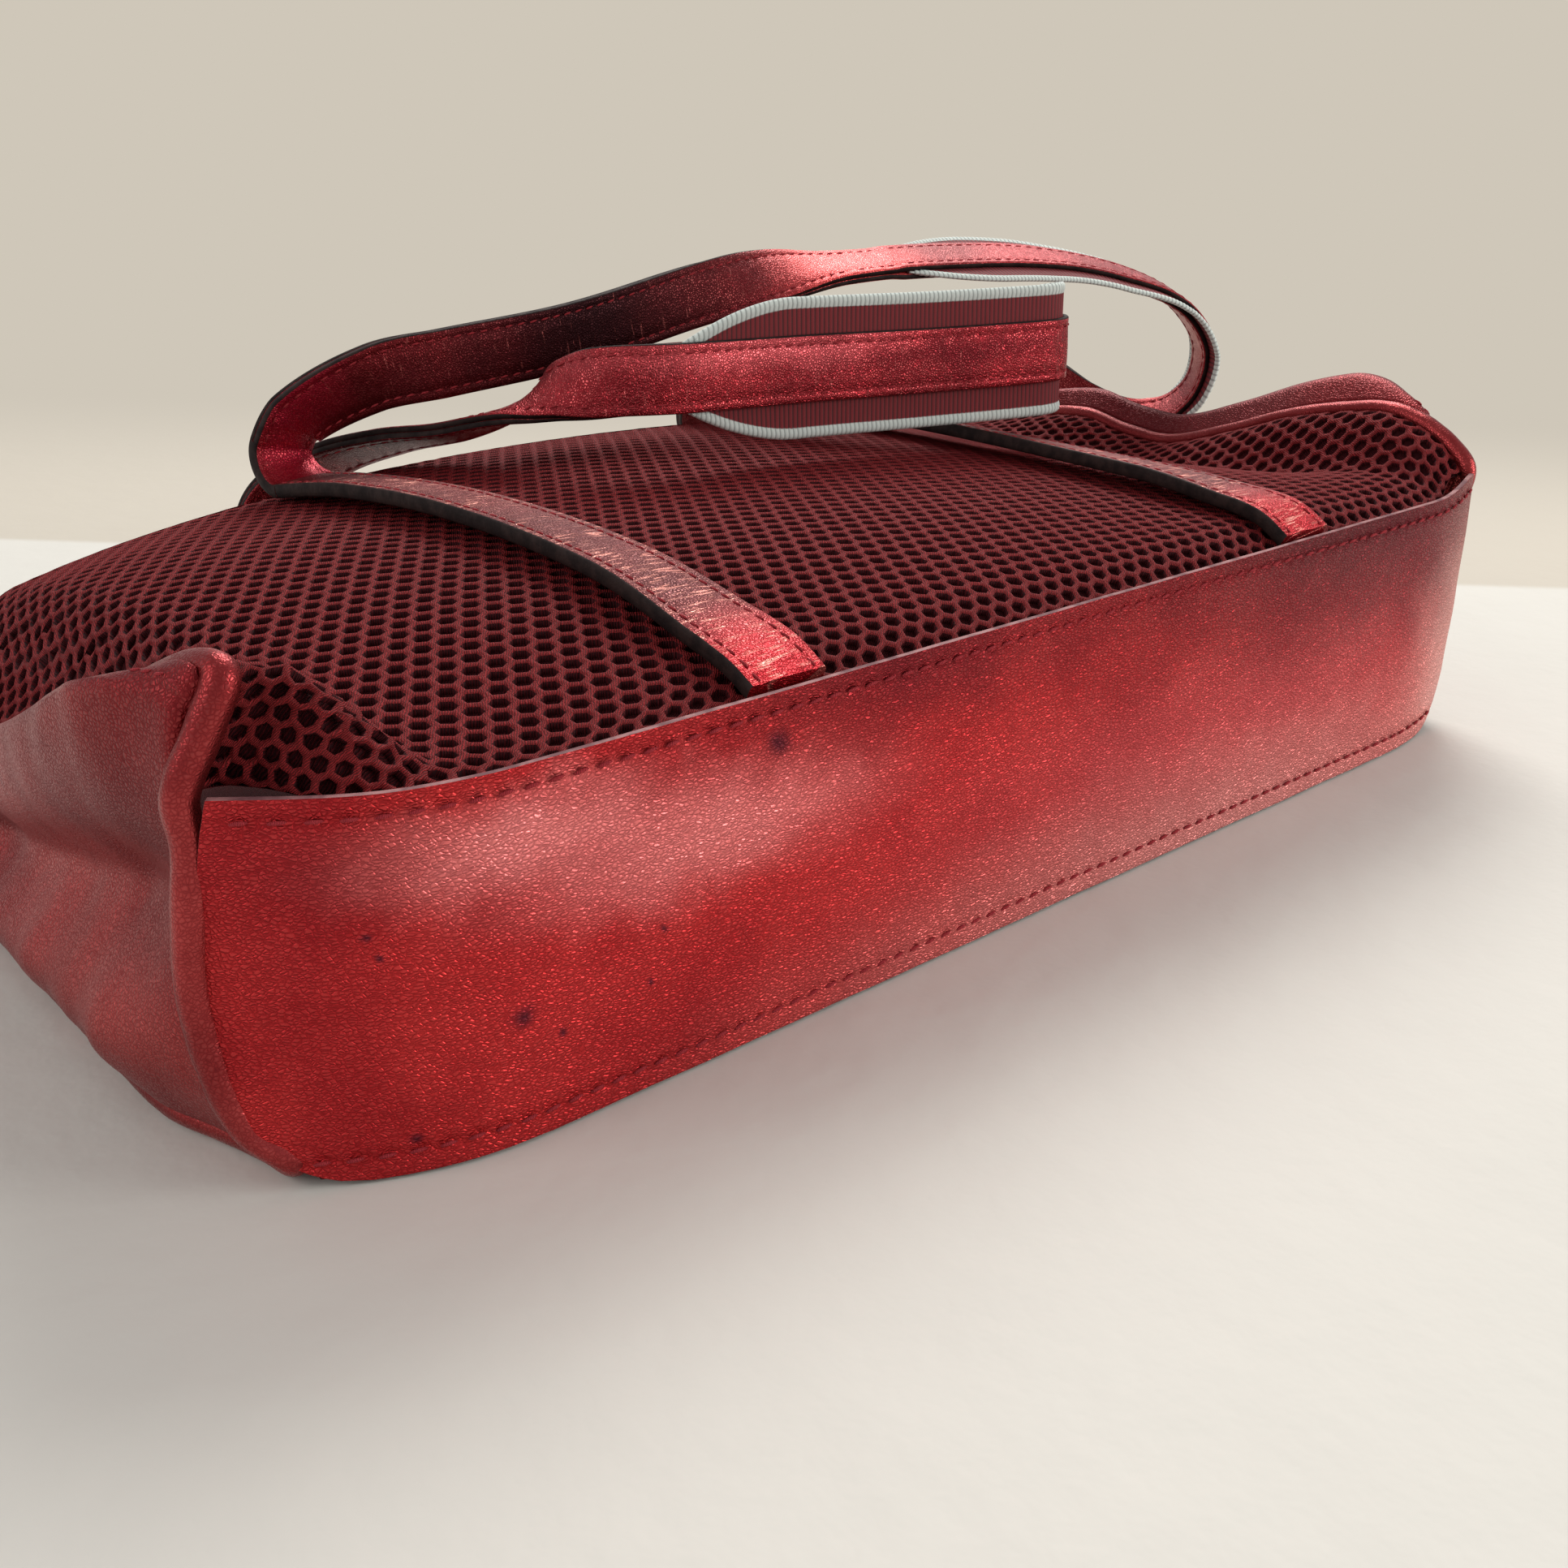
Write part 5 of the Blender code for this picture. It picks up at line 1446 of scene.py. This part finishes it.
def make_handle(name, route, axis_y, axis_z, ribbon_start, skin, twisted_at):
    """A handle's two leathers and its seams; gives its frames, and keeps its ends for the turns."""
    frames = handle_frames(route, axis_y, axis_z, HANDLE_SEGMENTS)
    first = TURN_REACH * 0.9
    trimmed = [frame for frame in frames if first < frame[0] < frames[-1][0] - first]
    ribbon_stop = ribbon_start + RIBBON_LENGTH
    for layer, sign in (("outer", 1), ("inner", -1)):
        def profile(run):
            near = max(layer_gap(run, ribbon_start) - PRESSED, 0.00003)
            far = layer_gap(run, ribbon_start) + LEATHER
            twist = math.exp(-((run - twisted_at) / TWIST_REACH) ** 2)
            corners = []
            for beside, over in leather_corners(*((near, far) if sign > 0 else (-far, -near)), sign > 0):
                lift = 0
                if abs(over) > near + LEATHER * 0.8 and abs(beside) < HALF_STRAP - 0.0004:
                    lift = HANDLE_WRINKLES * noise.noise(Vector((beside * 150, run * 700, sign * 3.0)))
                    fan = noise.noise(Vector((beside * 110 + run * 160, run * 430, sign)))
                    lift += FAN_WRINKLES * twist * fan
                corners.append((beside, over + sign * lift))
            return corners

        strip(f"{name}_{layer}_strap", trimmed, profile, [skin, painted_edge], name,
              [f"{name}_{layer}_leather"], edge_columns=LEATHER_EDGES)
        seam = []
        for beside in (-1, 1):
            for start, stop, gap in ((trimmed[0][0], ribbon_start, GAP / 2),
                                     (ribbon_start, ribbon_stop, RIBBON / 2 + GAP),
                                     (ribbon_stop, trimmed[-1][0], GAP / 2)):
                seam += along_frames(frames, beside * (HALF_STRAP - SEAM_INSET),
                                     sign * (gap + LEATHER - SUNK), start, stop)
        seam = [(point, along, facing * sign) for point, along, facing in seam]
        stitches(f"{name}_{layer}_stitches", seam, name)
    handle_ends[name] = {-1: trimmed[:2], 1: trimmed[:-3:-1]}
    return frames


# %% [markdown]
# The ribbon's ribs are real ridges, four rows of faces to a rib. Its borders are a thicker, rounder weave.

# %% Ribbon
RIBBON_TAPER = 0.030
HIDDEN_HALF = HALF_STRAP - 0.0016
TIP_HALF = HALF_STRAP - 0.0004


def make_ribbon(name, frames, start):
    """A band of grosgrain between a handle's leathers."""
    full = RIBBON_WIDTH / 2

    def half_at(run):
        """Half the ribbon's width: its ends are rounded off until they vanish between the leathers."""
        from_end = min(run - start, start + RIBBON_LENGTH - run) / RIBBON_TAPER
        rounded = 1 - (1 - min(max(from_end, 0.0), 1.0)) ** 1.8
        return TIP_HALF + (full - TIP_HALF) * rounded

    def thickness_at(beside, run, half):
        """Half its thickness: flat between the leathers, ribbed beside them, swollen at the border."""
        rib = abs(math.sin(math.pi * run / RIB_PITCH)) ** 0.7
        from_edge = half - abs(beside)
        if abs(beside) < HALF_STRAP:
            return RIBBON / 2
        if from_edge < 0.00005:
            return RIBBON / 2 * 0.55
        if from_edge < PALE_BORDER - 0.0001:
            swell = math.sin(math.pi * min(from_edge / PALE_BORDER, 1.0))
            return RIBBON / 2 + 0.00035 * swell + 0.00014 * rib
        return RIBBON / 2 - 0.00004 + 0.00020 * rib

    def profile(run):
        half = half_at(run)
        stations = [half - inward for inward in (0, 0.0006, 0.0014, 0.0024, PALE_BORDER,
                                                 PALE_BORDER + 0.0004, (half - HALF_STRAP) * 0.9 + 0.0008)]
        stations = [max(beside, HIDDEN_HALF) for beside in stations + [HIDDEN_HALF]]
        top = [(beside, thickness_at(beside, run, half)) for beside in stations]
        top += [(-beside, thickness) for beside, thickness in reversed(top)]
        return top + [(beside, -thickness) for beside, thickness in reversed(top)]

    rows = []
    low, high = start + 0.0004, start + RIBBON_LENGTH - 0.0004
    for run, a, b, part in between(frames, evenly(low, high, round((high - low) / (RIB_PITCH / 4)))):
        here, width, facing = (p.lerp(q, part) for p, q in zip(a[1:], b[1:]))
        rows.append((run, here, width.normalized(), facing.normalized()))
    made = strip(f"{name}_ribbon_band", rows, profile, [grosgrain], name, [f"{name}_ribbon"])
    # The map's U becomes the distance from the ribbon's middle, so that the border keeps its width
    layer = made.data.uv_layers["flat"]
    for loop, corner in zip(made.data.loops, layer.data):
        run = corner.uv[1]
        k = min(max(round((run - low) / (rows[1][0] - low)), 0), len(rows) - 1)
        middle = rows[k][1] + Vector((0.0, BASE_LINE_Y, 0.0))
        beside = (made.data.vertices[loop.vertex_index].co - middle).dot(rows[k][2])
        corner.uv = (math.copysign(full - half_at(run) + abs(beside), beside), run)
    return made


front_frames = make_handle("front_handle", FRONT_ROUTE, FRONT_AXIS_Y, FRONT_AXIS_Z, FRONT_RIBBON_START,
                           front_handle_leather, 0.180)
back_frames = make_handle("back_handle", back_route, BACK_AXIS_Y, BACK_AXIS_Z, BACK_RIBBON_START,
                          back_handle_leather, 0.150)
front_ribbon = make_ribbon("front_handle", front_frames, FRONT_RIBBON_START)
back_ribbon = make_ribbon("back_handle", back_frames, BACK_RIBBON_START)

# %% [markdown]
# Where a strap becomes a handle, the leather bends over the rim. That bend is a piece of its own, because
# it belongs to both; it rides on neither body and stays where it is made.

# %% Turns over the rim


TURN_PULL = 1.15


def make_turn(name, below, above, seed, skin):
    """A short double strap that rounds the rim, from a strap's last frames to a handle's first."""
    (_, q0, _, _), (_, p0, w0, f0) = below
    (_, p2, w2, f2), (_, q2, _, _) = above
    pull = (p2 - p0).length * TURN_PULL
    leave, arrive = (p0 - q0).normalized() * pull, (q2 - p2).normalized() * pull
    w2 = w2 if w2.dot(w0) > 0 else -w2
    frames = []
    run = 0.0
    last = p0
    for t in evenly(0, 1, 32):
        here = hermite(p0, leave, p2, arrive, t)
        ahead = (p0 * (6 * t ** 2 - 6 * t) + leave * (3 * t ** 2 - 4 * t + 1)
                 + p2 * (6 * t - 6 * t ** 2) + arrive * (3 * t ** 2 - 2 * t)).normalized()
        run += (here - last).length
        last = here
        wide = w0.lerp(w2, smoothstep(t))
        wide = (wide - ahead * wide.dot(ahead)).normalized()
        facing = wide.cross(ahead)
        if facing.dot(f0.lerp(f2, t)) < 0:
            facing = -facing
        frames.append((run, here, wide, facing))

    made = strip(name, frames, lambda run: wrinkled(run, WRINKLES, seed), [skin, painted_edge], None,
                 edge_columns=STRAP_EDGES)
    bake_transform(made)


for handle, skin in (("front", front_handle_leather), ("back", back_handle_leather)):
    for name, side in SIDES:
        make_turn(f"{handle}_{name}_turn", strap_ends[f"{handle}_{name}"],
                  handle_ends[f"{handle}_handle"][side], side + 20, skin)

# %% [markdown]
# ## Inside
# Inside the rim runs a leather facing, and below it a loose cloth lining. Cloth that is a little larger
# than the room it is in falls in soft waves, which a slow noise gives it.

# %% Linings and facings


def waved(place, amount, seed):
    """A lining's mid surface with soft waves up and down."""
    def at(u, v):
        point = place(u, v)
        free = smoothstep((1 - abs(u)) / 0.2)
        wave = noise.noise(Vector((point.x * 30, point.y * 22, seed)))
        return point + Vector((0.0, 0.0, amount * wave * free))
    return at


def base_cloth_place(u, w):
    """The base lining's mid surface, just over the board."""
    x = u * (BASE_LENGTH / 2 - BOARD_MARGIN)
    low, high = BASE_LIFT + BOARD_MARGIN, BASE_LIFT + BASE_DEPTH - BOARD_MARGIN
    return Vector((x, base_back(x) + BOARD + 2 * GAP + LINING / 2, low + (high - low) * w))


def lining(name, place, us, vs, flip=False):
    """A lining's cloth, in the place of the plain one."""
    return sheet(f"{name}_lining_cloth", place, us, vs, LINING, [lining_cloth], "bag_body",
                 [f"{name}_lining"], flip=flip)


under_net = MESH + LAYER_GAP + LEATHER / 2
for name, face, reach in (("front", behind(front_point, under_net), evenly(-0.87, 0.90, 60)),
                          ("back", behind(back_point, -under_net), evenly(-0.95, 0.95, 90))):
    sheet(f"{name}_facing_strip", face, reach, evenly(1 - FACING_HEIGHT / BODY_HEIGHT, 1, 6), LEATHER,
          [facing_leather, painted_edge], "bag_body", [f"{name}_facing"], rim=1)

lining_low = (max(LEFT_CURL, RIGHT_CURL) * 0.5 + BOARD + 3 * GAP + LINING) / BODY_HEIGHT
lining_up = evenly(lining_low, 1 - (FACING_HEIGHT + 2 * GAP) / BODY_HEIGHT, 50)
front_face = behind(front_point, MESH + LINING_EASE + LINING / 2)
back_face = behind(back_point, -(MESH + LAYER_GAP + LINING))
front_cloth = lining("front", waved(front_face, 0.0004, 2.0), evenly(-0.84, 0.84, 90), lining_up)
back_cloth = lining("back", waved(back_face, 0.0002, 3.0), evenly(-0.95, 0.95, 110), lining_up)
base_cloth = lining("base", base_cloth_place, evenly(-0.98, 0.98, 80), evenly(0, 1, 14), True)
gusset_cloths = []
for name, side in SIDES:
    inner = behind(gusset_places[side], side * (LEATHER / 2 + GUSSET_LINING_EASE + LINING / 2))
    gusset_cloths.append(lining(f"{name}_gusset", inner, evenly(0.24, 0.83, 24), evenly(0.15, 0.93, 50),
                                side < 0))
for slot in frame["nodes"]["base_board"].material_slots:
    slot.material = board_finish


# %% [markdown]
# ## Table, backdrop and light
# The bag lies on a pale table in front of a beige wall. The wall is only a band of colour on the floor's
# far part and in the world behind it, so nothing stands in the handles' way when they swing. Further
# back, the camera sees the wall's colour plain, so that it is even up to the top of the view.

# %% Table and backdrop
WALL_POINT, WALL_NORMAL = (-0.0775, 0.3335, 0.0), (0.7235, 0.6903, 0.0)
ROOM_TONE = (0.50, 0.495, 0.49, 1.0)
TABLE_TONE, WALL_FOOT_TONE, WALL_TONE = tone(214, 212, 205), tone(196, 189, 176), tone(207, 199, 185)

table_top, board, shader, at = new_finish("table_top")
from_wall = board.vector('SUBTRACT', at["Object"], WALL_POINT)[0]
beyond = board.vector('DOT_PRODUCT', from_wall, WALL_NORMAL)["Value"]
mottled = board.span(board.noise(at["Object"], 9.0, 4.0), 0.3, 0.7)
near = board.mix(mottled, TABLE_TONE, tuple(c * 0.97 for c in TABLE_TONE[:3]) + (1.0,))
finish_with(board, shader, board.mix(board.span(beyond, 0.0, 0.006), near, WALL_FOOT_TONE), 0.75,
            board.noise(at["Object"], 60.0, 4.0), 0.0006)
plain = board.add('ShaderNodeEmission', Color=WALL_TONE, Strength=1.0)
to_camera = board.add('ShaderNodeLightPath').outputs["Is Camera Ray"]
far_off = board.sum('MULTIPLY', to_camera, board.span(beyond, 0.015, 0.30))
both = board.add('ShaderNodeMixShader', Fac=far_off, i1=shader.outputs[0], i2=plain.outputs[0])
board.feed(table_top.node_tree.nodes["Material Output"].inputs["Surface"], both.outputs[0])

bm = bmesh.new()
bmesh.ops.create_grid(bm, x_segments=1, y_segments=1, size=14.0)
mesh = bpy.data.meshes.new("table")
bm.to_mesh(mesh)
bm.free()
table = bpy.data.objects.new("table", mesh)
mesh.materials.append(table_top)
bpy.context.scene.collection.objects.link(table)
table.location = (0.0, 0.0, -0.00005)

# %% [markdown]
# Soft light comes from a large window behind the camera's right and from above; a weak lamp opens the
# shadows from the left. The world gives the rest, and takes the wall's colour where the camera sees it.

# %% Light


def lamp(name, power, size, place, aim, colour):
    """An area lamp at a place, turned to what it lights."""
    data = bpy.data.lights.new(name, 'AREA')
    data.energy, data.size, data.color = power, size, colour
    made = bpy.data.objects.new(name, data)
    made.location = place
    made.rotation_euler = (Vector(aim) - Vector(place)).to_track_quat('-Z', 'Y').to_euler()
    bpy.context.scene.collection.objects.link(made)
    return made


lamp("window", 36.0, 1.1, (1.00, 0.95, 1.50), (0.0, 0.0, 0.03), (1.0, 0.97, 0.93))
lamp("front_window", 4.0, 0.40, (0.60, -0.75, 0.30), (0.0, 0.0, 0.03), (1.0, 0.96, 0.93))
lamp("side_window", 2.0, 0.5, (-0.85, 0.10, 0.55), (-0.1, 0.0, 0.03), (1.0, 0.98, 0.96))
world = bpy.data.worlds.new("room")
world.use_nodes = True
bpy.context.scene.world = world
board = Board(world.node_tree)
background = world.node_tree.nodes["Background"]
to_camera = board.add('ShaderNodeLightPath').outputs["Is Camera Ray"]
board.feed(background.inputs["Color"], board.mix(to_camera, ROOM_TONE, WALL_TONE))
background.inputs["Strength"].default_value = 1.0

# %% [markdown]
# ## Sizes
# The cloths and the net's inner layers say how large they were cut.

# %% Sheets and sizes


def flat_area(obj):
    """Area of a piece's own mesh, before its thickness."""
    return sum(polygon.area for polygon in obj.data.polygons)


def declare(obj):
    """Prints a sheet's flat size, that of the piece it was cut from, and the area of its cut."""
    width, length = flat_sizes[obj.name]
    area = min(flat_area(obj), width * length)
    print(f"{obj.name}: {width * 1000:.0f} x {length * 1000:.0f} mm, cut {area * 1e4:.0f} cm2")


declare(front_cloth)
declare(back_cloth)
declare(base_cloth)
declare(gusset_cloths[0])
declare(gusset_cloths[1])
declare(front_inner)
declare(back_inner)
